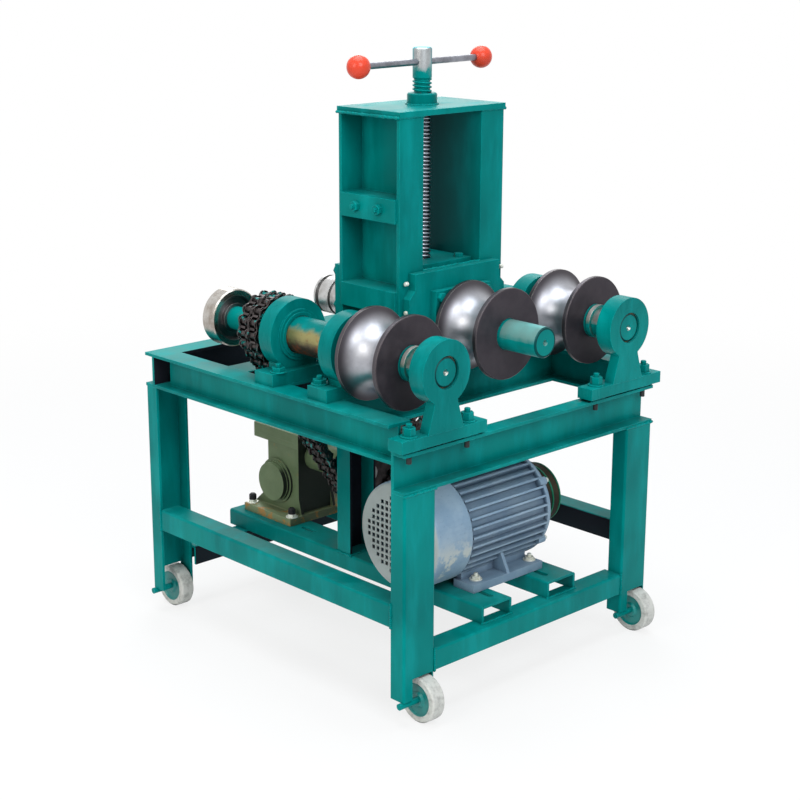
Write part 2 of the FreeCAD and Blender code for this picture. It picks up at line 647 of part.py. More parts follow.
legs = Piece("legs")
for leg_left in (left_face, right_face - leg_width):
    leg_right = leg_left + leg_width
    front_height = front_top - front_beam_height - leg_low
    legs.pad("top", [channel(leg_left, leg_right, front_face, front_face + leg_flange, leg_wall)],
             leg_low, front_height)
    legs.pad("top", [channel(leg_left, leg_right, back_face, back_face - leg_flange, leg_wall)],
             leg_low, beam_top - beam_height - leg_low)
for leg_left in (left_face, right_face - leg_width):
    notch_left = leg_left + notch_start
    notch = box(notch_left, notch_left + notch_width, leg_low - 1, castor_radius * 2 + notch_gap)
    legs.pocket("front", [notch], front_face - 1, leg_wall + 2)
    legs.pocket("front", [notch], back_face - leg_wall - 1, leg_wall + 2)

beam_half = beam_flange / 2
front_back = front_face + leg_flange
front_web = front_back - beam_wall
front_low = front_top - front_beam_height
front_section = [
    (front_face, front_low), (front_back, front_low), (front_back, front_top),
    (front_face, front_top), (front_face, front_top - beam_wall),
    (front_web, front_top - beam_wall), (front_web, front_low + beam_wall),
    (front_face, front_low + beam_wall),
]
back_section = i_section(back_face - beam_half, beam_top - beam_height,
                         beam_flange, beam_height, beam_wall)
top_rails = Piece("top_rails")
top_rails.pad("side", [front_section], left_face, frame_width)
top_rails.pad("side", [back_section], left_face, frame_width)
side_back = back_face - beam_flange
side_front = from_front(side_start)
for side_middle in (left_face + beam_half, right_face - beam_half):
    section = i_section(side_middle, beam_top - beam_height, beam_flange, beam_height, beam_wall)
    top_rails.pad("front", [section], side_front, side_back - side_front)
    side_low = beam_top - beam_height
    lower = [
        (side_middle - beam_half, side_low), (side_middle + beam_half, side_low),
        (side_middle + beam_half, side_low + beam_wall),
        (side_middle + beam_wall / 2, side_low + beam_wall),
        (side_middle + beam_wall / 2, front_top), (side_middle - beam_wall / 2, front_top),
        (side_middle - beam_wall / 2, side_low + beam_wall),
        (side_middle - beam_half, side_low + beam_wall),
    ]
    top_rails.pad("front", [lower], front_back, side_front - front_back + 1)

cross_beams = Piece("cross_beams")
span = frame_width - beam_flange * 2
web_reach = frame_width / 2 - beam_half - beam_wall / 2
for beam_front in (tower_beam_front, middle_beam_front):
    middle = from_front(beam_front) + beam_half
    section = i_section(middle, beam_top - beam_height, beam_flange, beam_height, beam_wall)
    web = box(middle - beam_wall / 2, middle + beam_wall / 2,
              beam_top - beam_height + beam_wall, beam_top - beam_wall)
    cross_beams.pad("side", [section], -span / 2, span)
    cross_beams.pad("side", [web], -web_reach, web_reach * 2)
rear_low = beam_top - rear_member_height
rear_front = from_front(rear_member_front)
rear_section = channel(rear_front, rear_front + rear_member_depth, beam_top, rear_low, beam_wall)
cross_beams.pad("side", [rear_section], -span / 2, span)

stretchers = Piece("stretchers")
between_legs = frame_width - leg_width * 2
stretcher_top = rail_low
stretcher_low = stretcher_top - stretcher_height
front_channel = channel(front_face, front_face + stretcher_depth, stretcher_top, stretcher_low,
                        stretcher_wall)
back_channel = channel(back_face - stretcher_depth, back_face, stretcher_top, stretcher_low,
                       stretcher_wall)
stretchers.pad("side", [front_channel], -between_legs / 2, between_legs)
stretchers.pad("side", [back_channel], -between_legs / 2, between_legs)
side_top = side_stretcher_low + side_stretcher_height
left_channel = channel(left_face, left_face + side_stretcher_width, side_top,
                       side_stretcher_low, stretcher_wall)
right_channel = channel(right_face - side_stretcher_width, right_face, side_top,
                        side_stretcher_low, stretcher_wall)
stretchers.pad("front", [left_channel], front_face + leg_flange, frame_depth - leg_flange * 2)
stretchers.pad("front", [right_channel], front_face + leg_flange, frame_depth - leg_flange * 2)

base_rails = Piece("base_rails")
rail_front = from_front(rail_setback)
rail_long = frame_depth - rail_setback + rail_overhang
for rail_start in (rail_left, rail_right):
    section = channel(rail_start, rail_start + rail_width, rail_top, rail_low, rail_wall)
    base_rails.pad("front", [section], rail_front, rail_long)


def slot(across, start):
    end = start + slot_long
    return [
        (across + slot_half, start), (across + slot_half, end, slot_half, 1),
        (across, end + slot_half, slot_half, 1), (across - slot_half, end),
        (across - slot_half, start, slot_half, 1), (across, start - slot_half, slot_half, 1),
    ]


back_slots = [slot(rail_start + rail_width / 2, from_front(slot_back))
              for rail_start in (rail_left, rail_right)]
front_slots = [slot(across, from_front(slot_front))
               for across in (rail_left + rail_width - slot_inset, rail_right + slot_inset)]
base_rails.pocket("top", back_slots + front_slots, rail_top - rail_wall - 1, rail_wall + 2)

post = Piece("post")
post_back = from_front(middle_beam_back + post_proud)
post_section = channel(post_left, post_left + post_width, post_back, post_back - post_depth,
                       leg_wall)
post.pad("top", [post_section], rail_top, beam_top - beam_height - rail_top)

castor_axles = Piece("castor_axles")
axle_stub = size("axle_stub", 5, "castor axle rods, reach past the legs")
axle_places = []
for leg_left in (left_face, right_face - leg_width):
    for axle_y in (front_face + castor_reach, back_face - castor_reach):
        axle_places.append((leg_left, axle_y))
for index, (leg_left, axle_y) in enumerate(axle_places):
    loop = ("circle", axle_y, castor_radius, castor_axle)
    castor_axles.pad("side", [loop], leg_left - axle_stub, leg_width + axle_stub)

WHEELS = ("front_left_castor", "back_left_castor", "front_right_castor", "back_right_castor")
dish = size("dish", 3, "castor wheel, depth of its dished face")
dish_slope = size("dish_slope", 3, "castor wheel, width of the dish's slope")
tread_chamfer = size("tread_chamfer", 2.5, "castor wheel, chamfer of its tread")
boss_wall = size("boss_wall", 5, "castor wheel, wall of the boss round the axle")
for name, (leg_left, axle_y) in zip(WHEELS, axle_places):
    wheel = Piece(name, (leg_left + castor_side, axle_y, castor_radius))
    half = castor_width / 2
    bore = castor_axle + running_gap
    boss = bore + boss_wall
    wheel.turned([[
        (-half, bore), (-half, boss), (dish - half, boss + dish_slope),
        (dish - half, castor_hub - dish_slope), (-half, castor_hub),
        (-half, castor_radius - tread_chamfer), (tread_chamfer - half, castor_radius),
        (half - tread_chamfer, castor_radius), (half, castor_radius - tread_chamfer),
        (half, castor_hub), (half - dish, castor_hub - dish_slope),
        (half - dish, boss + dish_slope), (half, boss), (half, bore),
    ]])

# ---------------------------------------------------------------- bearings of the bottom rollers

pedestals = Piece("pedestals")
foot_low = front_top + shim_height
foot_top = foot_low + pedestal_foot_thick
neck_top = axis_height - pedestal_shoulder
head_front = from_front(pedestal_front)
foot_setback = size("foot_setback", 1, "pedestal's face to the front of its foot")
flare_slope = size("flare_slope", 3, "pedestal neck, slope of its spread foot")
for axis_x in (-axis_side, axis_side):
    foot_left = axis_x - pedestal_foot_long / 2
    foot = box(foot_left, foot_left + pedestal_foot_long, foot_low, foot_top)
    pedestals.pad("front", [foot], head_front + foot_setback, pedestal_foot_deep)
    flare_top = foot_top + pedestal_flare
    flare_half = pedestal_spread - flare_slope
    neck = [
        (axis_x - pedestal_spread, foot_top - 1), (axis_x + pedestal_spread, foot_top - 1),
        (axis_x + flare_half, flare_top), (axis_x + pedestal_neck, neck_top),
        (axis_x + pedestal_neck, axis_height), (axis_x - pedestal_neck, axis_height),
        (axis_x - pedestal_neck, neck_top), (axis_x - flare_half, flare_top),
    ]
    pedestals.pad("front", [neck], head_front, pedestal_neck_thick)
    pedestals.pad("front", [("circle", axis_x, axis_height, pedestal_head)],
                  head_front, pedestal_thick)
bush_outer = journal + running_gap + bush_wall
lip_gap = size("lip_gap", 1, "gap all round a shaft's end in the pedestal's lip")
for axis_x in (-axis_side, axis_side):
    lip_bore = ("circle", axis_x, axis_height, journal + lip_gap)
    bush_bore = ("circle", axis_x, axis_height, bush_outer)
    pedestals.pocket("front", [lip_bore], head_front - 1, pedestal_lip + 2)
    pedestals.pocket("front", [bush_bore], head_front + pedestal_lip, pedestal_thick)
foot_bolt_y = head_front + foot_setback + pedestal_foot_deep / 2
pedestal_bolts = []
for axis_x in (-axis_side, axis_side):
    for side in (-1, 1):
        pedestal_bolts.append((axis_x + pedestal_bolt_side * side, foot_bolt_y))
foot_hole = foot_bolt_radius + bolt_gap
pedestals.pocket("top", [("circle", x, y, foot_hole) for x, y in pedestal_bolts],
                 foot_low - 1, pedestal_foot_thick + 2)

pedestal_shims = Piece("pedestal_shims")
shim_front = size("shim_front", 1, "frame's front to the packing")
for x, y in pedestal_bolts:
    shim_start = front_face + shim_front
    outer = box(x - shim_long / 2, x + shim_long / 2, shim_start, shim_start + shim_deep)
    pedestal_shims.pad("top", [outer, ("circle", x, y, foot_hole)], front_top, shim_height)

bearing_housings = Piece("bearing_housings")
seat_bush = seat + running_gap + bush_wall
housing_bolts = []
for axis_x in (-axis_side, axis_side):
    for front in (tower_beam_front, rear_housing_front):
        rear = front is rear_housing_front
        foot_front = from_front(middle_beam_front if rear else tower_beam_front)
        foot_left = axis_x - housing_foot_long / 2
        foot = box(foot_left, foot_left + housing_foot_long, foot_front, foot_front + beam_flange)
        bearing_housings.pad("top", [foot], beam_top, housing_foot_thick)
        neck = [
            (axis_x - housing_neck, beam_top + housing_foot_thick - 1),
            (axis_x + housing_neck, beam_top + housing_foot_thick - 1),
            (axis_x + housing_neck, axis_height - housing_shoulder),
            (axis_x - housing_neck, axis_height - housing_shoulder),
        ]
        head_start = from_front(front)
        bearing_housings.pad("front", [neck], head_start, housing_thick)
        bearing_housings.pad("front", [("circle", axis_x, axis_height, housing_radius)],
                             head_start, housing_thick)
        bearing_housings.pad("front", [("circle", axis_x, axis_height, housing_ring)],
                             head_start - housing_step, housing_thick)
        bearing_housings.pocket("front", [("circle", axis_x, axis_height, seat_bush)],
                                head_start - housing_step - 1,
                                housing_thick + housing_step + 2)
        bolt_y = foot_front + (housing_bolt_inset if rear else beam_flange - housing_bolt_inset)
        for side in (-1, 1):
            housing_bolts.append((axis_x + housing_bolt_side * side, bolt_y))
bearing_housings.pocket("top", [("circle", x, y, foot_hole) for x, y in housing_bolts],
                        beam_top - 1, housing_foot_thick + 2)

shaft_bushes = Piece("shaft_bushes")
for axis_x in (-axis_side, axis_side):
    front_ring = [("circle", axis_x, axis_height, bush_outer),
                  ("circle", axis_x, axis_height, journal + running_gap)]
    seat_ring = [("circle", axis_x, axis_height, seat_bush),
                 ("circle", axis_x, axis_height, seat + running_gap)]
    shaft_bushes.pad("front", front_ring, head_front + pedestal_lip, pedestal_thick - pedestal_lip)
    for front in (tower_beam_front, rear_housing_front):
        shaft_bushes.pad("front", seat_ring, from_front(front) - housing_step,
                         housing_thick + housing_step)

bearing_bolts = Piece("bearing_bolts")
for x, y in pedestal_bolts:
    bearing_bolts.pad("top", [hexagon(x, y, pedestal_nut_flats)], foot_top, pedestal_nut_high)
    bearing_bolts.pad("top", [("circle", x, y, foot_bolt_radius)], foot_low, pedestal_foot_thick)
for x, y in housing_bolts:
    bearing_bolts.pad("top", [hexagon(x, y, bolt_flats)], beam_top + housing_foot_thick, bolt_head)
    bearing_bolts.pad("top", [("circle", x, y, foot_bolt_radius)], beam_top, housing_foot_thick)

# ---------------------------------------------------------------- roller dies and their shafts


die_edge = size("die_edge", 1, "roller dies, chamfer of their edges")


def die_section(bore):
    """Half section of a roller die: two thin flanges and a deep round groove between them."""
    middle = die_width / 2
    above = groove_bottom + groove_radius - die_radius
    mouth = square_root(groove_radius * groove_radius - above * above)
    return [
        (0, bore), (die_width, bore), (die_width, die_radius - die_edge),
        (die_width - die_edge, die_radius),
        (middle + mouth, die_radius, groove_radius, -1),
        (middle, groove_bottom, groove_radius, -1), (middle - mouth, die_radius),
        (die_edge, die_radius), (0, die_radius - die_edge),
    ]


def make_die(label, axis_x, height):
    die = Piece(label, (axis_x, from_front(die_front), height), ALONG_Y)
    die.turned([die_section(seat)])


tooth_rise = size("tooth_rise", 5.5, "sprocket teeth, height above the pitch circle")
tooth_root = size("tooth_root", 8.4, "sprocket teeth, width of the flat between them")
tooth_tip = size("tooth_tip", 3.6, "sprocket teeth, width of their tips")


def tooth_loop(teeth):
    """A sprocket's outline: straight-sided teeth round the pitch circle, each with a root flat."""
    pitch_radius = number(pitch) / (2 * math.sin(math.pi / teeth))
    root = pitch_radius - number(roller_radius) - number(fit_gap)
    tip = pitch_radius + number(tooth_rise)
    step = 2 * math.pi / teeth
    root_half = math.asin(number(tooth_root) / 2 / root)
    tip_half = math.asin(number(tooth_tip) / 2 / tip)
    corners = []
    for index in range(teeth):
        gap = index * step
        tooth = gap + step / 2
        corners.append((gap - root_half, root))
        corners.append((gap + root_half, root))
        corners.append((tooth - tip_half, tip))
        corners.append((tooth + tip_half, tip))
    return [FreeCAD.Vector(r * math.cos(a), 0, r * math.sin(a)) for a, r in corners]


def make_sprocket(label, teeth, centre, phase, bore):
    """A duplex sprocket: two toothed discs on one hub, turned so that its gaps meet the rollers."""
    outline = tooth_loop(teeth)
    wire = Part.makePolygon(outline + [outline[0]])
    width = number(tooth_width)
    disc = Part.Face(wire).extrude(FreeCAD.Vector(0, width, 0))
    front = number(from_front(row_front)) - width / 2
    start = disc.copy()
    start.translate(FreeCAD.Vector(0, front, 0))
    end = disc.copy()
    end.translate(FreeCAD.Vector(0, front + number(row_gap), 0))
    hub_radius = number(bore) + number(hub_wall)
    hub = Part.makeCylinder(hub_radius, number(row_gap) + width, FreeCAD.Vector(0, front, 0),
                            FreeCAD.Vector(0, 1, 0))
    hole = Part.makeCylinder(number(bore), number(row_gap) + width + 4,
                             FreeCAD.Vector(0, front - 2, 0), FreeCAD.Vector(0, 1, 0))
    shape = start.fuse(end).fuse(hub).cut(hole)
    feature = document.addObject("Part::Feature", label)
    feature.Label = label
    feature.Shape = shape
    turn = FreeCAD.Rotation(FreeCAD.Vector(0, 1, 0), -math.degrees(phase))
    feature.Placement = FreeCAD.Placement(FreeCAD.Vector(centre[0], 0, centre[1]), turn)
    pieces.append(feature)


# The chain runs over both roller sprockets, round the gearbox sprocket, and under an idler
# that sits between them and takes up its slack.

chain_radius = number(pitch) / (2 * math.sin(math.pi / roller_teeth))
idler_radius = number(pitch) / (2 * math.sin(math.pi / idler_teeth))


def wheel_list(idler_z):
    """The chain's wheels in order: centre, radius and turning sense (1 is anticlockwise)."""
    return [
        (number(output_x), number(output_z), chain_radius, -1),
        (-number(axis_side), number(axis_height), chain_radius, -1),
        (0.0, idler_z, idler_radius, 1),
        (number(axis_side), number(axis_height), chain_radius, -1),
    ]


def chain_path(idler_z):
    """Straight runs and arcs of the chain's pitch line, each with its length."""
    wheels = wheel_list(idler_z)
    runs = []
    for index, (x, z, radius, sense) in enumerate(wheels):
        next_x, next_z, next_radius, next_sense = wheels[(index + 1) % len(wheels)]
        across = next_x - x
        up = next_z - z
        offset = next_sense * next_radius - sense * radius
        heading = math.atan2(up, across) - math.asin(offset / math.hypot(across, up))
        normal = (-math.sin(heading), math.cos(heading))
        leave = (x - sense * radius * normal[0], z - sense * radius * normal[1])
        arrive = (next_x - next_sense * next_radius * normal[0],
                  next_z - next_sense * next_radius * normal[1])
        runs.append((leave, arrive, heading))
    path = []
    for index, (leave, arrive, heading) in enumerate(runs):
        path.append(("run", leave, heading, math.dist(leave, arrive)))
        x, z, radius, sense = wheels[(index + 1) % len(wheels)]
        start = math.atan2(arrive[1] - z, arrive[0] - x)
        wrap = (runs[(index + 1) % len(runs)][2] - heading) * sense % (2 * math.pi)
        path.append(("arc", (x, z, radius, sense), start, wrap * radius))
    return path


def point_on(path, distance):
    for kind, first, angle, length in path:
        if distance <= length:
            break
        distance -= length
    if kind == "run":
        return (first[0] + distance * math.cos(angle), first[1] + distance * math.sin(angle))
    x, z, radius, sense = first
    angle += sense * distance / radius
    return (x + radius * math.cos(angle), z + radius * math.sin(angle))


def walk(path, count):
    """Pins one pitch apart along the path; returns them and where the last step ends."""
    total = sum(part[3] for part in path)
    step = number(pitch)
    place_now = 0.0
    pins = []
    for index in range(count):
        here = point_on(path, place_now % total)
        pins.append(here)
        low = place_now + step * 0.99
        high = place_now + step * 1.06
        for halving in range(36):
            middle = (low + high) / 2
            if math.dist(here, point_on(path, middle % total)) < step:
                low = middle
            else:
                high = middle
        place_now = low
    return pins, place_now - total


idler_drop = size("idler_drop", 148.6, "bottom rollers' axis to the idler's, before it is set")
link_nose = size("link_nose", 8, "chain plates, reach past their pins")
link_shoulder = size("link_shoulder", 4, "chain plates, a pin to where the plate narrows")
link_gap = size("link_gap", 0.2, "gap between a chain's inner and outer plates")
roller_gap = size("roller_gap", 0.15, "gap between a chain's rollers and its plates")


def close_chain():
    """Find the idler's height at which the chain closes on an even number of links."""
    trial = number(axis_height) - number(idler_drop)
    length = sum(part[3] for part in chain_path(trial))
    count = 2 * round(length / number(pitch) / 2)
    low = trial - 2 * number(pitch)
    high = trial + 2 * number(pitch)
    for halving in range(40):
        middle = (low + high) / 2
        pins, overrun = walk(chain_path(middle), count)
        if overrun > 0:
            high = middle
        else:
            low = middle
    return middle, pins


idler_z, chain_pins = close_chain()
print("chain", len(chain_pins), "links, idler at", round(idler_z, 2))


def tooth_phase(x, z, radius):
    """Angle of the first chain pin that rests on a wheel."""
    for pin in chain_pins:
        if abs(math.dist(pin, (x, z)) - radius) < 0.01:
            return math.atan2(pin[1] - z, pin[0] - x)
    raise ValueError("no chain pin on this wheel")


def link_plate(start, end, front, back):
    """A chain plate from pin to pin with pointed ends, between two places along Y."""
    half = number(plate_height) / 2
    nose = number(link_nose)
    shoulder = number(link_shoulder)
    along = FreeCAD.Vector(end[0] - start[0], 0, end[1] - start[1])
    unit = along.normalize()
    up = FreeCAD.Vector(-unit.z, 0, unit.x)
    step = number(pitch)
    shape = [(-nose, 0), (-shoulder, half), (step + shoulder, half), (step + nose, 0),
             (step + shoulder, -half), (-shoulder, -half)]
    origin = FreeCAD.Vector(start[0], front, start[1])
    corners = [origin + unit * along_by + up * up_by for along_by, up_by in shape]
    face = Part.Face(Part.makePolygon(corners + [corners[0]]))
    return face.extrude(FreeCAD.Vector(0, back - front, 0))


def chain_solids():
    solids = []
    rows = [number(from_front(row_front)), number(from_front(row_back))]
    plate = number(plate_thick)
    inner = number(roller_width) / 2 + number(roller_gap)
    outer = inner + plate
    past = outer + number(link_gap)
    for index, pin in enumerate(chain_pins):
        following = chain_pins[(index + 1) % len(chain_pins)]
        if index % 2:
            levels = [(rows[0] - outer, rows[0] - inner), (rows[0] + inner, rows[0] + outer),
                      (rows[1] - outer, rows[1] - inner), (rows[1] + inner, rows[1] + outer)]
        else:
            levels = [(rows[0] - past - plate, rows[0] - past), (rows[0] + past, rows[1] - past),
                      (rows[1] + past, rows[1] + past + plate)]
        for front, back in levels:
            solids.append(link_plate(pin, following, front, back))
        for row in rows:
            ring = Part.makePolygon([
                FreeCAD.Vector(pin[0] + number(roller_radius) * math.cos(math.radians(60 * k)),
                               row - number(roller_width) / 2,
                               pin[1] + number(roller_radius) * math.sin(math.radians(60 * k)))
                for k in range(7)])
            solids.append(Part.Face(ring).extrude(FreeCAD.Vector(0, number(roller_width), 0)))
    return solids


drive_chain = document.addObject("Part::Feature", "drive_chain")
drive_chain.Label = "drive_chain"
drive_chain.Shape = Part.makeCompound(chain_solids())
pieces.append(drive_chain)

shaft_end = pedestal_front + shaft_recess
tail_front = row_back + tooth_width / 2
tail_proud = size("tail_proud", 2, "shaft's reach past the rear disc")
disc_edge = size("disc_edge", 2, "rear disc, chamfer of its edges")
dish_deep = size("dish_deep", 7, "rear disc, depth of its dished face")
disc_boss = size("disc_boss", 9, "rear disc, wall of the boss round the shaft")
for side_name, axis_x in (("left", -axis_side), ("right", axis_side)):
    shaft = Piece(f"{side_name}_shaft", (axis_x, from_front(0), axis_height), ALONG_Y)
    shaft.turned([centred(stepped([
        (shaft_end, die_front, journal), (die_front, middle_beam_back, seat),
        (middle_beam_back, tail_front, sprocket_seat), (tail_front, disc_front, tail),
        (disc_front, disc_front + disc_width + tail_proud, tail_seat),
    ]))])
    make_die(f"{side_name}_die", axis_x, axis_height)
    spacers = Piece(f"{side_name}_spacers", (axis_x, from_front(0), axis_height), ALONG_Y)
    spacers.turned([
        tube(die_front - collar_width, die_front, collar_radius, journal),
        tube(die_back, tower_beam_front - housing_step - fit_gap, sleeve_radius, seat),
        tube(front_housing_back + fit_gap, rear_housing_front - housing_step - fit_gap,
             sleeve_radius, seat),
    ])
    axis_point = (number(axis_x), number(axis_height))
    phase = tooth_phase(axis_point[0], axis_point[1], chain_radius)
    make_sprocket(f"{side_name}_sprocket", roller_teeth, axis_point, phase, sprocket_seat)
    disc = Piece(f"{side_name}_rear_disc", (axis_x, from_front(disc_front), axis_height), ALONG_Y)
    disc.turned([[
        (0, tail_seat), (disc_width, tail_seat), (disc_width, disc_radius - disc_edge),
        (disc_width - disc_edge, disc_radius), (disc_edge, disc_radius),
        (0, disc_radius - disc_edge), (0, disc_dish), (dish_deep, disc_dish - dish_deep / 2),
        (dish_deep, tail_seat + disc_boss), (0, tail_seat + disc_boss),
    ]])

# ---------------------------------------------------------------- tower, carriage and lead screw

tower_columns = Piece("tower_columns")
column_y = from_front(column_front)
column_end = from_front(column_back)
for side in (-1, 1):
    inner_x = column_web * side
    outer_x = column_out * side
    wall = column_wall * side
    section = [
        (inner_x, column_y), (outer_x, column_y), (outer_x, column_y + column_wall),
        (inner_x + wall, column_y + column_wall), (inner_x + wall, column_end - column_wall),
        (outer_x, column_end - column_wall), (outer_x, column_end), (inner_x, column_end),
    ]
    tower_columns.pad("top", [section], beam_top, column_top - beam_top)
    bar_start = inner_x + wall
    bar_section = [
        (bar_start, column_y + column_wall), (bar_start + bar_reach * side, column_y + column_wall),
        (bar_start + bar_reach * side, column_end - column_wall), (bar_start, column_end - column_wall),
    ]
    for bar_low in (middle_bar_low, low_bar_low):
        tower_columns.pad("top", [bar_section], bar_low, bar_height)

tower_top_plate = Piece("tower_top_plate")
screw_place = from_front(screw_y)
tower_top_plate.pad("top", [
    box(-column_out - 1, column_out + 1, column_y - top_plate_lap, column_end + top_plate_lap),
    ("circle", 0, screw_place, screw_radius + fit_gap * 2),
], column_top, top_plate)

screw_boss = Piece("screw_boss", (0, screw_place, column_top + top_plate), ALONG_Z)
boss_edge = size("boss_edge", 2, "chamfer of the screw's nut boss and of the screw's top")
screw_boss.turned([[
    (0, screw_radius + running_gap), (boss_height, screw_radius + running_gap),
    (boss_height, boss_radius - boss_edge), (boss_height - boss_edge, boss_radius),
    (0, boss_radius),
]])

column_bolts = Piece("column_bolts")
bar_bolts = [hexagon(screw_place + bar_bolt_side * side, middle_bar_low + bar_height / 2, bolt_flats)
             for side in (-1, 1)]
bar_face = column_out + bar_proud
for start in (-bar_face - bolt_head, bar_face):
    column_bolts.pad("side", bar_bolts, start, bolt_head)

carriage_half = column_web - fit_gap
carriage_front = from_front(column_front) - fit_gap
carriage_back = from_front(column_back) + fit_gap
recess = flange_thick + fit_gap * 2
carriage_block = Piece("carriage_block")
carriage_block.pad("front", [box(-carriage_half, carriage_half, carriage_low, carriage_top)],
                   carriage_front, carriage_back - carriage_front)
carriage_block.pocket("front", [("circle", 0, top_axis_height, top_journal + running_gap)],
                      carriage_front - 1, carriage_back - carriage_front + 2)
carriage_block.pocket("top", [("circle", 0, screw_place, screw_flange + fit_gap)],
                      carriage_top - recess, recess + 1)

front_plate = Piece("carriage_front_plate")
flare_end = carriage_top - front_plate_neck
flare_start = flare_end - front_plate_flare
plate_wide = front_plate_half + front_plate_flare
plate_high = carriage_top + front_plate_lap
front_plate.pad("front", [
    [(-plate_wide, carriage_low), (plate_wide, carriage_low), (plate_wide, flare_start),
     (front_plate_half, flare_end), (front_plate_half, plate_high),
     (-front_plate_half, plate_high), (-front_plate_half, flare_end),
     (-plate_wide, flare_start)],
    ("circle", 0, top_axis_height, top_journal + running_gap * 2),
], carriage_front - front_plate_thick, front_plate_thick)

retainer = Piece("bearing_retainer")
retainer_front = carriage_front - front_plate_thick - retainer_thick
retainer_high = top_axis_height + retainer_half
retainer.pad("front", [
    box(-retainer_half, retainer_half, carriage_low, retainer_high),
    ("circle", 0, top_axis_height, top_journal + running_gap * 2),
], retainer_front, retainer_thick)

rear_plate = Piece("carriage_rear_plate")
rear_plate.pad("front", [
    box(-rear_plate_half, rear_plate_half, carriage_low, carriage_top),
    ("circle", 0, top_axis_height, top_journal + running_gap * 2),
], carriage_back, rear_plate_thick)

carriage_cap = Piece("carriage_cap")
carriage_cap.pad("top", [
    box(-carriage_half, carriage_half, screw_place - cap_deep / 2, screw_place + cap_deep / 2),
    ("circle", 0, screw_place, screw_radius + fit_gap),
], carriage_top, cap_thick)

carriage_screws = Piece("carriage_screws")
corner = retainer_half - retainer_screw
front_heads = [hexagon(corner * side, z, small_flats) for side in (-1, 1)
               for z in (carriage_low + retainer_screw, retainer_high - retainer_screw)]
carriage_screws.pad("front", front_heads, retainer_front - small_head, small_head)
rear_side = rear_plate_half - rear_screw_side
rear_heads = [hexagon(rear_side * side, z, small_flats) for side in (-1, 1)
              for z in (carriage_top - rear_screw_top, carriage_low + rear_screw_low)]
carriage_screws.pad("front", rear_heads, carriage_back + rear_plate_thick, small_head)
cap_heads = [hexagon(cap_screw_side * side, screw_place + cap_screw_deep * end, small_flats)
             for side in (-1, 1) for end in (-1, 1)]
carriage_screws.pad("top", cap_heads, carriage_top + cap_thick, small_head)

centre_shaft = Piece("centre_shaft", (0, from_front(0), top_axis_height), ALONG_Y)
rear_die_front = row_back + rear_die_gap
rear_die_back = rear_die_front + rear_die_width
shoulder = column_back + fit_gap + rear_plate_thick + top_shoulder
centre_shaft.turned([centred(stepped([
    (top_nose, die_front, nose_radius), (die_front, die_back, seat),
    (die_back, shoulder, top_journal), (shoulder, rear_die_front, top_neck),
    (rear_die_front, rear_die_back, top_tail),
]))])
make_die("centre_die", 0, top_axis_height)
rear_die = Piece("centre_rear_die", (0, from_front(rear_die_front), top_axis_height), ALONG_Y)
rear_rim = rear_die_radius + rear_die_lip
bed_end = rear_die_width - rear_die_rim
bed_start = bed_end - rear_die_bed
slit_end = rear_die_slit_front + rear_die_slit
rear_die.turned([[
    (0, top_tail), (rear_die_width, top_tail), (rear_die_width, rear_rim),
    (bed_end, rear_rim), (bed_end, rear_die_radius - rear_die_deep),
    (bed_start, rear_die_radius - rear_die_deep), (bed_start, rear_rim), (slit_end, rear_rim),
    (slit_end, rear_die_radius - rear_die_slit_deep),
    (rear_die_slit_front, rear_die_radius - rear_die_slit_deep),
    (rear_die_slit_front, rear_die_radius), (0, rear_die_radius),
]])

lead_screw = Piece("lead_screw", (0, screw_place, 0), ALONG_Z)
flange_low = carriage_top - flange_thick - fit_gap
lead_screw.turned([[
    (flange_low, 0), (flange_low, screw_flange), (flange_low + flange_thick, screw_flange),
    (flange_low + flange_thick, screw_radius), (screw_top - boss_edge, screw_radius),
    (screw_top, screw_radius - boss_edge), (screw_top, 0),
]])
bar_rotation = FreeCAD.Rotation(FreeCAD.Vector(0, 0, 1), number(bar_turn))


def cross_hole_cut(body, label):
    """Bore the tommy bar's hole across the screw's head, at the bar's angle."""
    drill = document.addObject("Part::Cylinder", "BarHole")
    bind(drill, "Radius", bar_radius + running_gap)
    bind(drill, "Height", screw_radius * 4)
    direction = FreeCAD.Rotation(FreeCAD.Vector(0, 1, 0), 90)
    turn = bar_rotation.multiply(direction)
    reach = number(screw_radius) * 2
    angle = math.radians(number(bar_turn))
    start = FreeCAD.Vector(-reach * math.cos(angle), number(screw_place) - reach * math.sin(angle),
                           number(bar_high))
    drill.Placement = FreeCAD.Placement(start, turn)
    cut = document.addObject("Part::Cut", label)
    cut.Base = body
    cut.Tool = drill
    cut.Label = label
    return cut


lead_screw.body.Label = "lead_screw_blank"
pieces.remove(lead_screw.body)
pieces.append(cross_hole_cut(lead_screw.body, "lead_screw"))

tommy_bar = Piece("tommy_bar", (0, screw_place, bar_high), bar_rotation)
bar_half = ball_spacing / 2 - ball_radius + ball_socket
tommy_bar.turned([[
    (-bar_half, 0), (-bar_half, bar_radius), (bar_half, bar_radius), (bar_half, 0),
]])
tommy_balls = Piece("tommy_balls", (0, screw_place, bar_high), bar_rotation)
for side in (-1, 1):
    ball = ball_spacing / 2 * side
    mouth = (ball_spacing / 2 - ball_radius + ball_flat) * side
    bottom = bar_half * side
    dip = square_root(ball_radius * ball_flat * 2 - ball_flat * ball_flat)
    sense = -side
    tommy_balls.turned([[
        (mouth, bar_radius), (mouth, dip, ball_radius, sense), (ball, ball_radius, ball_radius, sense),
        (ball + ball_radius * side, 0), (bottom, 0), (bottom, bar_radius),
    ]])

# ---------------------------------------------------------------- motor

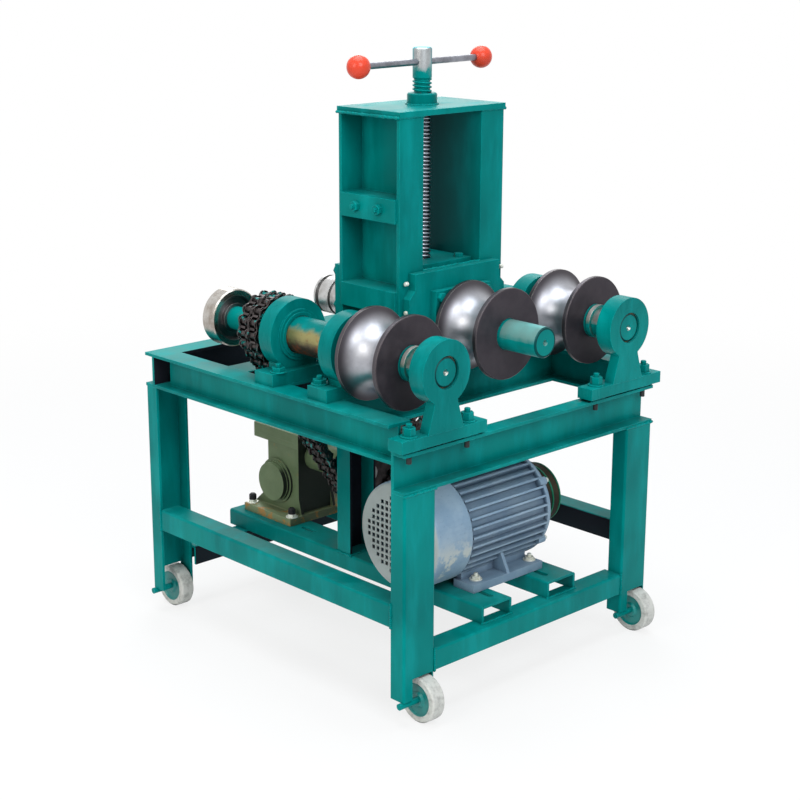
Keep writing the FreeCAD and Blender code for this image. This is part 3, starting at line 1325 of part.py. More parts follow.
motor_axis_y = from_front(motor_y)
motor_end = motor_start + motor_long
motor_frame = Piece("motor_frame", (0, motor_axis_y, motor_z))
motor_frame.turned([tube(motor_start, motor_end, motor_radius, motor_bore)])
fin = motor_frame.pad("side", [box(motor_radius - 2, fin_radius, -fin_thick / 2, fin_thick / 2)],
                      motor_start + fin_margin, motor_long - fin_margin * 2)
motor_frame.ring(fin, 36)
foot_face = foot_thick - motor_height
for side in (-1, 1):
    outer = foot_outer * side
    inner = foot_inner * side
    plate = [(outer, -motor_height), (inner, -motor_height), (inner, foot_face), (outer, foot_face)]
    motor_frame.pad("side", [plate], foot_start, foot_long)
    wall_out = foot_wall * side
    wall = [(wall_out, foot_face - 1), (inner, foot_face - 1), (inner, -motor_radius * 0.75),
            (wall_out, -motor_radius * 0.6)]
    motor_frame.pad("side", [wall], foot_start + foot_gusset, foot_long - foot_gusset * 2)
    gusset = [(outer, foot_face - 1), (inner, foot_face - 1), (inner, -motor_radius * 0.75),
              (motor_radius * 0.85 * side, -motor_radius * 0.45)]
    motor_frame.pad("side", [gusset], foot_start + (foot_long - foot_gusset) / 2, foot_gusset)
motor_bolt_places = [(x, y) for x in (rail_left + motor_bolt_left, rail_right + motor_bolt_right)
                     for y in (-motor_bolt_side, motor_bolt_side)]
drive_hole = drive_bolt_radius + bolt_gap
motor_frame.pocket("top", [("circle", x, y, drive_hole) for x, y in motor_bolt_places],
                   -motor_height - 1, foot_thick + 2)

cowl_outer = fin_radius + cowl_lap
cowl_inner = cowl_outer - cowl_wall
motor_end_bells = Piece("motor_end_bells", (0, motor_axis_y, motor_z))
shaft_bore = rotor_radius + running_gap
bell_end = motor_end + bell_long
bell_rim = fin_radius - bell_step / 2
motor_end_bells.turned([
    [(motor_end, shaft_bore), (bell_end, shaft_bore), (bell_end, shaft_bore + bell_hub),
     (bell_end - bell_step, shaft_bore + bell_hub + bell_step / 2),
     (motor_end + bell_step * 2, bell_rim - bell_step), (motor_end + bell_step, bell_rim),
     (motor_end, bell_rim)],
    tube(motor_start - bell_thick, motor_start, cowl_inner - cowl_fit, shaft_bore),
])

fan_cover = Piece("fan_cover", (0, motor_axis_y, motor_z))
cowl_right = motor_start - cowl_gap
cowl_left = cowl_right - cowl_long
fan_cover.turned([[
    (cowl_left, 0), (cowl_left, cowl_outer - cowl_edge), (cowl_left + cowl_edge, cowl_outer),
    (cowl_right, cowl_outer), (cowl_right, cowl_inner),
    (cowl_left + cowl_edge + cowl_wall / 2, cowl_inner),
    (cowl_left + cowl_wall, cowl_inner - cowl_edge + cowl_wall / 2), (cowl_left + cowl_wall, 0),
]])

motor_rotor = Piece("motor_rotor", (0, motor_axis_y, motor_z))
fan_right = motor_start - fan_back
fan_left = fan_right - fan_long
core_inset = size("core_inset", 23, "motor body's ends to the rotor's core")
tail_reach = size("tail_reach", 4, "motor shaft's reach past the fan")
motor_rotor.turned([stepped([
    (fan_left - tail_reach, motor_start + core_inset, rotor_radius),
    (motor_start + core_inset, motor_end - core_inset, motor_bore - motor_gap),
    (motor_end - core_inset, rotor_end, rotor_radius),
])])

motor_fan = Piece("motor_fan", (0, motor_axis_y, motor_z))
motor_fan.turned([tube(fan_left, fan_right, rotor_radius + fan_hub, rotor_radius)])
blade_root = rotor_radius + fan_hub - 2
blade = motor_fan.pad("side", [box(blade_root, fan_radius, -fan_blade / 2, fan_blade / 2)],
                      fan_left + 2, fan_long - 4)
motor_fan.ring(blade, 6)

terminal_box = Piece("terminal_box", (0, motor_axis_y, motor_z))
terminal_box.pad("side", [box(fin_radius, fin_radius + terminal_reach, -terminal_half,
                              terminal_half)], terminal_start, terminal_long)

# ---------------------------------------------------------------- pulleys and belts

groove_depth = belt_thick + belt_gap + 1
groove_half = belt_width / 2 + belt_gap
groove_places = [belt_margin, pulley_width - belt_margin]


def pulley_section(radius, bore):
    corners = [(0, bore), (pulley_width, bore), (pulley_width, radius)]
    for middle in reversed(groove_places):
        corners.append((middle + groove_half + belt_flare, radius))
        corners.append((middle + groove_half, radius - groove_depth))
        corners.append((middle - groove_half, radius - groove_depth))
        corners.append((middle - groove_half - belt_flare, radius))
    corners.append((0, radius))
    return corners


motor_pulley = Piece("motor_pulley", (pulley_start, motor_axis_y, motor_z))
motor_pulley.turned([pulley_section(motor_pulley_radius, rotor_radius)])
worm_axis_y = from_front(worm_y)
input_pulley = Piece("input_pulley", (pulley_start, worm_axis_y, worm_z))
input_pulley.turned([pulley_section(input_pulley_radius, worm_shaft_radius)])


def belt_face(first, second, radius_first, radius_second, x):
    """A belt's loop in the YZ plane: two arcs and the two straight runs that touch them."""
    span_vector = FreeCAD.Vector(0, second[0] - first[0], second[1] - first[1])
    length = span_vector.Length
    unit = span_vector.normalize()
    side_vector = FreeCAD.Vector(0, -unit.z, unit.y)
    lean = math.asin((radius_first - radius_second) / length)
    points = []
    for centre, radius, ahead in ((first, radius_first, -1), (second, radius_second, 1)):
        base = FreeCAD.Vector(x, centre[0], centre[1])
        for side in (1, -1):
            normal = unit * math.sin(lean) + side_vector * (math.cos(lean) * side)
            points.append(base + normal * radius)
        points.append(base + unit * (radius * ahead))
    edges = [
        Part.LineSegment(points[0], points[3]).toShape(),
        Part.Arc(points[3], points[5], points[4]).toShape(),
        Part.LineSegment(points[4], points[1]).toShape(),
        Part.Arc(points[1], points[2], points[0]).toShape(),
    ]
    return Part.Face(Part.Wire(edges))


def belt_solid(x):
    first = (number(motor_axis_y), number(motor_z))
    second = (number(worm_axis_y), number(worm_z))
    inner_first = number(motor_pulley_radius - groove_depth + belt_gap)
    inner_second = number(input_pulley_radius - groove_depth + belt_gap)
    thick = number(belt_thick)
    push = FreeCAD.Vector(number(belt_width), 0, 0)
    outer = belt_face(first, second, inner_first + thick, inner_second + thick, x).extrude(push)
    inner = belt_face(first, second, inner_first, inner_second, x).extrude(push)
    return outer.cut(inner)


drive_belts = document.addObject("Part::Feature", "drive_belts")
drive_belts.Label = "drive_belts"
drive_belts.Shape = Part.makeCompound([
    belt_solid(number(pulley_start + middle - belt_width / 2)) for middle in groove_places])
pieces.append(drive_belts)

# ---------------------------------------------------------------- worm gearbox

gearbox_housing = Piece("gearbox_housing")
box_left = output_x - box_half_x
box_right = output_x + box_half_x
box_front = worm_axis_y - box_half_y
box_back = worm_axis_y + box_half_y
wall_left = box_left + box_inset
wall_right = box_right - box_inset
wall_front = box_front + box_lap_front
wall_back = box_back - box_lap_back
foot_front = worm_axis_y - box_foot_deep / 2
foot_back = foot_front + box_foot_deep
foot_top_z = rail_top + box_foot_thick
bolt_left = rail_left + box_bolt_left
bolt_right = rail_right + box_bolt_right
gearbox_housing.pad("top", [box(bolt_left - box_foot_edge, bolt_right + box_foot_edge, foot_front,
                                foot_back)], rail_top, box_foot_thick)
gearbox_housing.pad("top", [box(wall_left, wall_right, wall_front, wall_back)], foot_top_z - 1,
                    box_split - foot_top_z + 1)
gearbox_housing.pad("top", [box(box_left, box_right, box_front, box_back)],
                    box_split - box_flange, box_flange)
# The worm's bearing seats stand out of both side walls in two rings.
for reach, radius in ((cap_step, cap_radius + cap_step), (cap_step * 2, cap_radius)):
    gearbox_housing.pad("side", [("circle", worm_axis_y, worm_z, radius)], wall_left - reach,
                        wall_right - wall_left + reach * 2)
# Gussets run from the walls' corners down to the ends of the foot.
front_gusset = [(wall_front + 1, foot_top_z - 1), (foot_front, foot_top_z - 1),
                (wall_front + 1, foot_top_z + gusset_high)]
back_gusset = [(wall_back - 1, foot_top_z - 1), (foot_back, foot_top_z - 1),
               (wall_back - 1, foot_top_z + gusset_high)]
for start in (wall_left, wall_right - gusset_thick):
    gearbox_housing.pad("side", [front_gusset, back_gusset], start, gusset_thick)
nose_front = from_front(row_back) + tooth_width / 2 + nose_clear
gearbox_housing.pad("front", [("circle", output_x, output_z, output_radius + nose_wall)],
                    nose_front, wall_front + 1 - nose_front)
hollow = box(wall_left + box_wall, wall_right - box_wall, wall_front + box_wall,
             wall_back - box_wall)
gearbox_housing.pocket("top", [hollow], foot_top_z, box_split - foot_top_z + 1)
seat_end = wall_left - cap_step * 2
gearbox_housing.pocket("side", [("circle", worm_axis_y, worm_z, worm_shaft_radius + running_gap)],
                       seat_end - 1, wall_right - wall_left + cap_step * 4 + 2)
gearbox_housing.pocket("front", [("circle", output_x, output_z, output_radius + running_gap)],
                       nose_front - 1, worm_axis_y - nose_front)
box_bolt_places = [(x, worm_axis_y + y) for x in (bolt_left, bolt_right)
                   for y in (-box_bolt_side, box_bolt_side)]
gearbox_housing.pocket("top", [("circle", x, y, drive_hole) for x, y in box_bolt_places],
                       rail_top - 1, box_foot_thick + 2)

gearbox_covers = Piece("gearbox_covers")
cover_top = output_z + wheel_radius + wheel_top_gap + box_wall
gearbox_covers.pad("top", [box(box_left, box_right, box_front, box_back)], box_split,
                   cover_top - box_split)
gearbox_covers.pocket("top", [hollow], box_split - 1, cover_top - box_wall - box_split + 1)
gearbox_covers.pad("side", [("circle", worm_axis_y, worm_z, cap_radius - cap_step / 2)],
                   seat_end - cap_proud, cap_proud)
worm_nose = wall_right + cap_step * 2
gearbox_covers.pad("side", [
    ("circle", worm_axis_y, worm_z, cap_radius - cap_proud),
    ("circle", worm_axis_y, worm_z, worm_shaft_radius + running_gap),
], worm_nose, worm_nose_end - worm_nose)

worm_shaft = Piece("worm_shaft", (0, worm_axis_y, worm_z))
worm_shaft.turned([stepped([
    (seat_end + fit_gap, output_x - worm_long / 2, worm_shaft_radius),
    (output_x - worm_long / 2, output_x + worm_long / 2, worm_radius),
    (output_x + worm_long / 2, pulley_start + pulley_width + 3, worm_shaft_radius),
])])

output_shaft = Piece("output_shaft", (output_x, 0, output_z), ALONG_Y)
sprocket_start = from_front(row_front) - tooth_width / 2
wheel_front = worm_axis_y - wheel_width / 2
wheel_back = worm_axis_y + wheel_width / 2
output_shaft.turned([stepped([
    (sprocket_start - tail_proud * 2, wheel_front, output_radius),
    (wheel_front, wheel_back, wheel_radius),
    (wheel_back, wall_back - box_wall - fit_gap, output_radius),
])])
output_point = (number(output_x), number(output_z))
make_sprocket("output_sprocket", roller_teeth, output_point,
              tooth_phase(output_point[0], output_point[1], chain_radius), output_radius)
make_sprocket("idler_sprocket", idler_teeth, (0.0, idler_z),
              tooth_phase(0.0, idler_z, idler_radius), idler_pin + running_gap)

idler_bracket = Piece("idler_bracket")
bracket_back = from_front(middle_beam_back)
beam_low = beam_top - beam_height
idler_bracket.pad("front", [box(-bracket_half, bracket_half, idler_z - bracket_drop, beam_low)],
                  bracket_back - bracket_thick, bracket_thick)
pin_back = row_back + tooth_width / 2 + axle_stub
idler_bracket.pad("front", [("circle", 0, idler_z, idler_pin)], bracket_back - 1,
                  pin_back - middle_beam_back + 1)

drive_bolts = Piece("drive_bolts")
for x, y in motor_bolt_places:
    drive_bolts.pad("top", [hexagon(x, y + motor_axis_y, small_flats)], rail_top + foot_thick,
                    small_head)
    drive_bolts.pad("top", [("circle", x, y + motor_axis_y, drive_bolt_radius)], rail_top,
                    foot_thick)
for x, y in box_bolt_places:
    drive_bolts.pad("top", [hexagon(x, y, small_flats)], rail_top + box_foot_thick, small_head)
    drive_bolts.pad("top", [("circle", x, y, drive_bolt_radius)], rail_top, box_foot_thick)

# ---------------------------------------------------------------- check and write

document.recompute()
faults = [item.Name for item in document.Objects
          if "Invalid" in item.State or "Error" in item.State]
for piece in pieces:
    shape = piece.Shape
    if shape.isNull() or not shape.isValid() or not shape.Solids:
        faults.append(piece.Label)
if faults:
    raise ValueError(f"these objects failed: {faults}")
for piece in pieces:
    piece.Shape.exportStep(f"parts/{piece.Label}.step")
print(len(pieces), "pieces written")
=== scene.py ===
# %% [markdown]
# # Dressing a motor-driven tube bender
#
# The bender stands on a welded frame with four castors. Two grooved rollers are driven by a chain,
# and a third is pressed down between them by a screw in a tower. This lesson gives them their
# finishes, and adds the fine work that is easier to grow in Blender: chain links, screw thread, the
# punched fan cover and the weld beads. All numbers are metres.

# %% Load the frame
import math

import bpy
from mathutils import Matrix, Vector


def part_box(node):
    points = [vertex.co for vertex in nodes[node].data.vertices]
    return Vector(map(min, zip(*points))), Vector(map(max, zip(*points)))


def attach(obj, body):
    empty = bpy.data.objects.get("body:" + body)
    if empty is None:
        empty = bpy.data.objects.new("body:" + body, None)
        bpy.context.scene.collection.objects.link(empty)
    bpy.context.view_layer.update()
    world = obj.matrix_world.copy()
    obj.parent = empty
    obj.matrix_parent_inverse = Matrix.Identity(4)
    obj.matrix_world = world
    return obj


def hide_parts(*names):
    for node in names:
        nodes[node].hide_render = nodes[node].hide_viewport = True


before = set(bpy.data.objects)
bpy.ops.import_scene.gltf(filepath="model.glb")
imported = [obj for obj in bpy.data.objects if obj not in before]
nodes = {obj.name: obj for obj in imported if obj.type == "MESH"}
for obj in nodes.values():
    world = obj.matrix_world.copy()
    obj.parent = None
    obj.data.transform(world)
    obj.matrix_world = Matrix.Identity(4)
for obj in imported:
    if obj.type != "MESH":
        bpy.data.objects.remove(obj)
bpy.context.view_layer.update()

# %% [markdown]
# ## Places that the finishes need
#
# A finish such as "bright groove, dark flange" has to know where the groove is. The places are read
# from the boxes of the pieces themselves, so a changed machine keeps its finish where it belongs.


# %% Read places from the pieces
def middle_of(node):
    low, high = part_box(node)
    return (low + high) / 2


def size_of(node):
    low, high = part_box(node)
    return high - low


roller_axis = middle_of("right_shaft")
disc_radius = size_of("left_rear_disc").z / 2
castor_radius = middle_of("back_left_castor").z
screw_middle = middle_of("lead_screw")
print("rollers at", round(roller_axis.x, 4), round(roller_axis.z, 4))

# %% [markdown]
# ## A small kit for writing node trees
#
# A finish is a graph of nodes. Wiring it by hand in code is wordy, so these helpers each add one kind
# of node and return its output socket. A value may be a plain number or another node's output. Tree
# holds what shaders, the world and geometry share, and Finish adds what only a material needs.


# %% Node kit
class Tree:
    """A node tree written as nested calls."""

    def __init__(self, tree):
        self.tree = tree

    def put(self, socket, value):
        if isinstance(value, bpy.types.NodeSocket):
            self.tree.links.new(value, socket)
        elif socket.type == "RGBA" and len(value) == 3:
            socket.default_value = (*value, 1)
        else:
            socket.default_value = value

    def add(self, kind, settings=(), **inputs):
        """Add a node. Inputs are named in words, joined by underscores, or numbered as in _0."""
        node = self.tree.nodes.new(kind)
        for key, value in dict(settings).items():
            setattr(node, key, value)
        for name, value in inputs.items():
            key = int(name[1:]) if name[0] == "_" else name.replace("_", " ")
            self.put(node.inputs[key], value)
        return node

    def new(self, kind, settings=(), **inputs):
        """Add a node and give its first output."""
        return self.add(kind, settings, **inputs).outputs[0]

    def math(self, kind, first, second=0.0, third=0.0):
        return self.new("ShaderNodeMath", {"operation": kind}, _0=first, _1=second, _2=third)

    def times(self, first, *others):
        for other in others:
            first = self.math("MULTIPLY", first, other)
        return first

    def vector(self, kind, first, second=(0, 0, 0)):
        node = self.add("ShaderNodeVectorMath", {"operation": kind}, _0=first, _1=second)
        return node.outputs["Value" if kind in ("LENGTH", "DOT_PRODUCT") else "Vector"]


print("node kit ready")


# %% Shader kit
class Finish(Tree):
    """One material."""

    def __init__(self, name):
        self.material = bpy.data.materials.new(name)
        self.material.use_nodes = True
        super().__init__(self.material.node_tree)
        self.tree.nodes.clear()
        self.shader = self.add("ShaderNodeBsdfPrincipled")
        self.output = self.add("ShaderNodeOutputMaterial", Surface=self.shader.outputs[0])
        self.where = self.add("ShaderNodeTexCoord").outputs["Object"]

    def set(self, **values):
        """Set the shader's own sockets: base_color=..., roughness=..."""
        for name, value in values.items():
            self.put(self.shader.inputs[name.replace("_", " ").title().replace("Ior", "IOR")], value)

    def stretch(self, scale):
        """The object's own coordinates, stretched along its axes."""
        return self.new("ShaderNodeMapping", Vector=self.where, Scale=scale)

    def noise(self, scale, detail=3.0, rough=0.55, at=None):
        return self.add("ShaderNodeTexNoise", Vector=at or self.where, Scale=scale, Detail=detail,
                        Roughness=rough).outputs["Fac"]

    def between(self, value, low, high):
        """0 where value is under low, 1 where it is over high, smooth in between."""
        return self.add("ShaderNodeMapRange", {"interpolation_type": "SMOOTHSTEP"}, Value=value,
                        From_Min=low, From_Max=high).outputs["Result"]

    def patches(self, low, high, *noise):
        """Noise of a scale, detail and roughness: 0 where it is under low, 1 where it is over high."""
        return self.between(self.noise(*noise), low, high)

    def blend(self, factor, first, second):
        """Mix two colours."""
        return self.add("ShaderNodeMix", {"data_type": "RGBA"}, _0=factor, _6=first, _7=second).outputs[2]

    def glaze(self, mask, share, first, second):
        """Mix two colours by at most a share, where the mask is."""
        return self.blend(self.times(mask, share), first, second)

    def fade(self, factor, first, second):
        """Mix two numbers."""
        return self.new("ShaderNodeMix", _0=factor, _2=first, _3=second)

    def axis(self, letter, at=None):
        return self.add("ShaderNodeSeparateXYZ", _0=at or self.where).outputs[letter]

    def facing(self, letter):
        """How far the surface faces along an axis of the piece, from -1 to 1."""
        return self.axis(letter, self.add("ShaderNodeTexCoord").outputs["Normal"])

    def looks_back(self, letter, low=-0.5, high=-0.8):
        """1 where the surface looks back along an axis of the piece."""
        return self.between(self.facing(letter), low, high)

    def rounded(self, radius):
        """The surface's direction, with its edges rounded."""
        return self.new("ShaderNodeBevel", {"samples": 4}, Radius=radius)

    def corners(self, radius, low=0.02, high=0.25):
        """1 along edges and in corners, 0 on open faces."""
        flat = self.add("ShaderNodeNewGeometry").outputs["Normal"]
        kept = self.vector("DOT_PRODUCT", self.rounded(radius), flat)
        return self.between(self.math("SUBTRACT", 1.0, kept), low, high)

    def nooks(self, reach):
        """1 deep in a crevice, 0 in the open."""
        open_share = self.add("ShaderNodeAmbientOcclusion", {"samples": 6}, Distance=reach).outputs["AO"]
        return self.between(self.math("SUBTRACT", 1.0, open_share), 0.25, 0.85)

    def from_axis(self, letters, middle, mirrored=False):
        """Distance from a line along the third axis through middle, on both sides if mirrored."""
        squares = []
        for letter in letters:
            place = self.axis(letter)
            if mirrored and letter == "X":
                place = self.math("ABSOLUTE", place)
            offset = self.math("SUBTRACT", place, getattr(middle, letter.lower()))
            squares.append(self.times(offset, offset))
        return self.math("SQRT", self.math("ADD", *squares))

    def lathe_sheen(self, middle, amount):
        """Stretch the highlights across tool marks that run round a Y axis through middle."""
        across = self.vector("CROSS_PRODUCT", (0, 1, 0), self.vector("SUBTRACT", self.where, middle))
        turned = self.new("ShaderNodeVectorTransform", {"convert_from": "OBJECT", "convert_to": "WORLD"},
                          _0=across)
        self.set(tangent=turned, anisotropic=amount, anisotropic_rotation=0.25)

    def relief(self, height, distance, soften=0.0):
        """Bump from a height, over edges that are rounded by soften."""
        node = self.add("ShaderNodeBump", Strength=1.0, Distance=distance, Height=height)
        if soften:
            self.put(node.inputs["Normal"], self.rounded(soften))
        self.set(normal=node.outputs[0])


def wear(nodes_named, finish):
    """Give carried-over pieces their finish."""
    for name in nodes_named:
        mesh = nodes[name].data
        mesh.materials.clear()
        mesh.materials.append(finish.material)


print("shader kit ready")

# %% [markdown]
# ## Green enamel
#
# The frame, tower and castings are brushed with a blue-green enamel. On the real machine it is thick
# and glossy, thin on the edges, with a slight orange peel, darker where the brush left more, and dusty
# on flat tops. One flat colour would look like plastic. So the base colour drifts with two noises,
# the edges show a paler line that is partly wear and partly painted highlight, and dust settles on
# faces that look up. Crevices get painted shade, and faces that look back into the machine under the
# table can be given a near-black painted shade.

# %% Enamel finish
ENAMEL = (0.0, 0.215, 0.200)
ENAMEL_DEEP = (0.0, 0.155, 0.148)
# Pale green: paler brush streaks, and edges that are partly worn paint and partly painted highlight.
ENAMEL_WEAR_AND_HIGHLIGHT = (0.008, 0.50, 0.51)
# Near-black green: painted shade in crevices and inside the tower, and the dark seams round shaft ends.
ENAMEL_SHADE_AND_GRIME = (0.002, 0.022, 0.024)
ENAMEL_SHEEN = (0.04, 0.70, 0.80)
# Near-black painted shade for faces that look back into the machine under the table.
UNDER_TABLE_SHADE = (0.014, 0.013, 0.019)
DUST = (0.06, 0.31, 0.30)
EDGE = 0.0012
UNDER_TABLE_SHADE_EDGE = 0.002
RIGHT_SIDE = 0.2


def enamel(name, dust=0.25, lumps=0.00008, lump_scale=260.0, gloss=0.3, painted_shade=()):
    """Painted shade: (axis, place) pairs. Past the place, faces that look back along the axis get a
    near-black painted shade, for the shade under the table.
    """
    finish = Finish(name)
    drift = finish.patches(0.35, 0.68, 7.0, 2.0)
    streak = finish.between(finish.noise(26.0, 4.0, 0.6, finish.stretch((1, 1, 0.22))), 0.42, 0.75)
    colour = finish.blend(drift, ENAMEL, ENAMEL_DEEP)
    colour = finish.glaze(streak, 0.22, colour, ENAMEL_WEAR_AND_HIGHLIGHT)
    chips = finish.patches(0.42, 0.62, 90.0, 4.0, 0.7)
    # Paler edges: partly worn paint, partly a painted highlight along every edge.
    edge = finish.times(finish.corners(EDGE), finish.fade(chips, 0.45, 1.0))
    colour = finish.blend(edge, colour, ENAMEL_WEAR_AND_HIGHLIGHT)
    # Painted shade: darker deep in crevices, by ambient occlusion.
    colour = finish.glaze(finish.nooks(0.02), 0.55, colour, ENAMEL_SHADE_AND_GRIME)
    up = finish.between(finish.facing("Z"), 0.6, 0.95)
    patches = finish.patches(0.35, 0.7, 11.0, 5.0, 0.65)
    settled = finish.times(up, patches, dust)
    colour = finish.blend(settled, colour, DUST)
    # Painted shade: past each place, faces that look back along the axis go near black, for the shade under
    # the table.
    for letter, place in painted_shade:
        in_shade = finish.times(finish.looks_back(letter),
                              finish.between(finish.axis(letter), place, place + UNDER_TABLE_SHADE_EDGE))
        colour = finish.blend(in_shade, colour, UNDER_TABLE_SHADE)
    finish.set(base_color=colour, specular_tint=ENAMEL_SHEEN)
    finish.set(specular_ior_level=finish.fade(up, 0.12, 0.03))
    rough = finish.fade(streak, gloss, gloss + 0.12)
    finish.set(roughness=finish.fade(settled, rough, 0.75))
    finish.relief(finish.noise(lump_scale, 2.0), lumps, EDGE)
    finish.colour = colour
    finish.rough = rough
    return finish


frame_enamel = enamel("frame_enamel")
dusty_enamel = enamel("dusty_enamel", dust=0.35)
# Painted shade: faces that look towards -Y past the middle go near black, and on the stretchers also faces
# that look towards -X on the right side.
half_primed = enamel("half_primed", dust=0.18, painted_shade=[("Y", 0.0)])
bar_enamel = enamel("bar_enamel", dust=0.18, painted_shade=[("Y", 0.0), ("X", RIGHT_SIDE)])
cast_enamel = enamel("cast_enamel", dust=0.15, lumps=0.00016, lump_scale=190.0, gloss=0.27)
wear(["legs", "tower_top_plate", "carriage_block", "carriage_front_plate", "carriage_rear_plate",
      "carriage_cap", "idler_bracket", "castor_axles", "column_bolts", "carriage_screws"], frame_enamel)
wear(["base_rails"], dusty_enamel)
wear(["top_rails", "cross_beams"], half_primed)
wear(["stretchers"], bar_enamel)
# Painted shade: the post's front face goes near black.
wear(["post"], enamel("post_enamel", painted_shade=[("Y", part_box("post")[0].y - 0.01)]))
wear(["pedestal_shims", "bearing_housings", "bearing_bolts", "screw_boss", "bearing_retainer"], cast_enamel)
print("enamel on frame and castings")

# %% Tower and pedestals
SEAM = 0.0240
SEAM_LINE = 0.0005
# Where the painted shade inside the tower starts and where it is full, along Y.
INNER_SHADE_START = -0.01
INNER_SHADE_FULL = -0.03


def tower_finish():
    """Enamel with painted shade on the inward faces, deeper towards the back."""
    finish = enamel("tower_enamel")
    low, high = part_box("tower_columns")
    outward = finish.times(finish.facing("X"), finish.math("SIGN", finish.axis("X")))
    inward = finish.between(outward, -0.5, -0.8)
    towards_back = finish.between(finish.axis("Y"), low.y + INNER_SHADE_START, high.y + INNER_SHADE_FULL)
    # Painted shade: the inward faces of the columns go near black towards the back.
    darkening = finish.times(inward, towards_back, 0.9)
    finish.set(base_color=finish.blend(darkening, finish.colour, ENAMEL_SHADE_AND_GRIME))
    return finish


def pedestal_finish():
    """Cast enamel with black grease in the seam round the shaft's end."""
    finish = enamel("pedestal_enamel", dust=0.15, lumps=0.00016, lump_scale=190.0, gloss=0.27)
    out = finish.from_axis("XZ", roller_axis, mirrored=True)
    seam = finish.times(finish.between(out, SEAM + SEAM_LINE, SEAM),
                        finish.looks_back("Y", -0.55, -0.75))
    finish.set(base_color=finish.glaze(seam, 0.9, finish.colour, ENAMEL_SHADE_AND_GRIME))
    return finish


wear(["tower_columns"], tower_finish())
wear(["pedestals"], pedestal_finish())
print("enamel on tower and pedestals")

# %% [markdown]
# ## Turned steel
#
# The roller grooves are turned and then polished by the tubes that run in them, while the flange faces
# keep the dark skin of the forging. Fine rings from the lathe tool run round the axis. The place along
# the axis decides which of the two finishes shows, so one material serves a whole die. Within the
# groove, a painted highlight at the bottom fades to painted shade up the flanks.

# %% Roller die finish
SCALE_DARK = (0.040, 0.033, 0.042)
SCALE_PALE = (0.062, 0.052, 0.062)
GROOVE_HIGHLIGHT = (0.46, 0.47, 0.51)
GROOVE_DARK = (0.085, 0.078, 0.088)
RIM_WARM = (0.34, 0.30, 0.27)
FLAT_FACE = (0.0012, 0.0006)
FLANK_SHADE = (0.62, 0.95)


def turned_rings(finish, letter, per_metre):
    """Height of fine lathe rings along an axis."""
    wave = finish.math("SINE", finish.times(finish.axis(letter), per_metre))
    rough = finish.noise(1400.0, 1.0)
    return finish.math("ADD", finish.times(wave, 0.35), rough)


def die_finish(name, node):
    """Roller: painted highlight deep in the groove, painted shade up its flanks, scale on the flat faces.
    """
    finish = Finish(name)
    middle = middle_of(node)
    along = finish.math("ABSOLUTE", finish.math("SUBTRACT", finish.axis("Y"), middle.y))
    half = size_of(node).y / 2
    out = finish.from_axis("XZ", middle)
    rim = size_of(node).z / 2
    face = finish.between(along, *(half - depth for depth in FLAT_FACE))
    flank_shade = finish.between(out, *(rim * share for share in FLANK_SHADE))
    cloud = finish.patches(0.3, 0.75, 38.0, 5.0, 0.65)
    # Painted highlight and shade: bright deep in the groove, darker towards the rim.
    groove = finish.blend(flank_shade, GROOVE_HIGHLIGHT, GROOVE_DARK)
    groove = finish.glaze(cloud, 0.25, groove, GROOVE_DARK)
    skin = finish.blend(cloud, SCALE_DARK, SCALE_PALE)
    worn = finish.times(finish.corners(0.0012), 0.7)
    finish.set(base_color=finish.blend(worn, finish.blend(face, groove, skin), RIM_WARM))
    finish.set(metallic=finish.fade(face, 1.0, 0.6), specular_ior_level=0.3)
    polish = finish.fade(cloud, 0.40, 0.46)
    finish.set(roughness=finish.fade(face, polish, finish.fade(cloud, 0.45, 0.6)))
    finish.lathe_sheen(middle, 0.35)
    finish.relief(turned_rings(finish, "Y", 9000.0), 0.000008, 0.0006)
    return finish


for die in ("left_die", "right_die", "centre_die"):
    wear([die], die_finish(f"{die}_steel", die))
print("dies finished")


# %% Bright and dark steels
def steel(name, bright, dark, low=0.25, high=0.45, metallic=1.0, letter="Y", mottling=60.0):
    finish = Finish(name)
    cloud = finish.patches(0.32, 0.72, mottling, 5.0, 0.65)
    colour = finish.blend(cloud, bright, dark)
    shine = tuple(min(1.0, part * 1.5) for part in bright)
    colour = finish.glaze(finish.corners(0.0008), 0.6, colour, shine)
    finish.set(base_color=colour, metallic=metallic)
    finish.set(roughness=finish.fade(cloud, low, high))
    finish.relief(turned_rings(finish, letter, 7000.0), 0.00001, 0.0005)
    finish.colour = colour
    return finish


bright_steel = steel("bright_steel", (0.58, 0.58, 0.58), (0.36, 0.35, 0.34))
dark_bar = steel("dark_bar", (0.27, 0.28, 0.32), (0.16, 0.16, 0.18), 0.32, 0.5, letter="X")
zinc = steel("zinc", (0.80, 0.82, 0.76), (0.62, 0.62, 0.52), 0.35, 0.5, metallic=0.4)
oily_steel = steel("oily_steel", (0.10, 0.085, 0.085), (0.035, 0.03, 0.032), 0.28, 0.5)
wear(["lead_screw", "motor_rotor", "worm_shaft", "output_shaft", "centre_rear_die"], bright_steel)
wear(["tommy_bar"], dark_bar)
wear(["left_sprocket", "right_sprocket", "output_sprocket", "idler_sprocket", "drive_chain"], oily_steel)
print("steels ready")

# %% [markdown]
# ## Shafts, collars and sleeves
#
# The shafts were painted in place: green all over, bare only where something rubs or where the lathe
# centre sat. The journals are bare only on top, which is partly wear and partly a painted highlight.
# Each shaft has its own axis, so the finish is made once per shaft from its middle. The long sleeve
# between the two bearing housings was never painted underneath. It is bare bronze with green
# overspray on top, and darker underneath as painted shade.

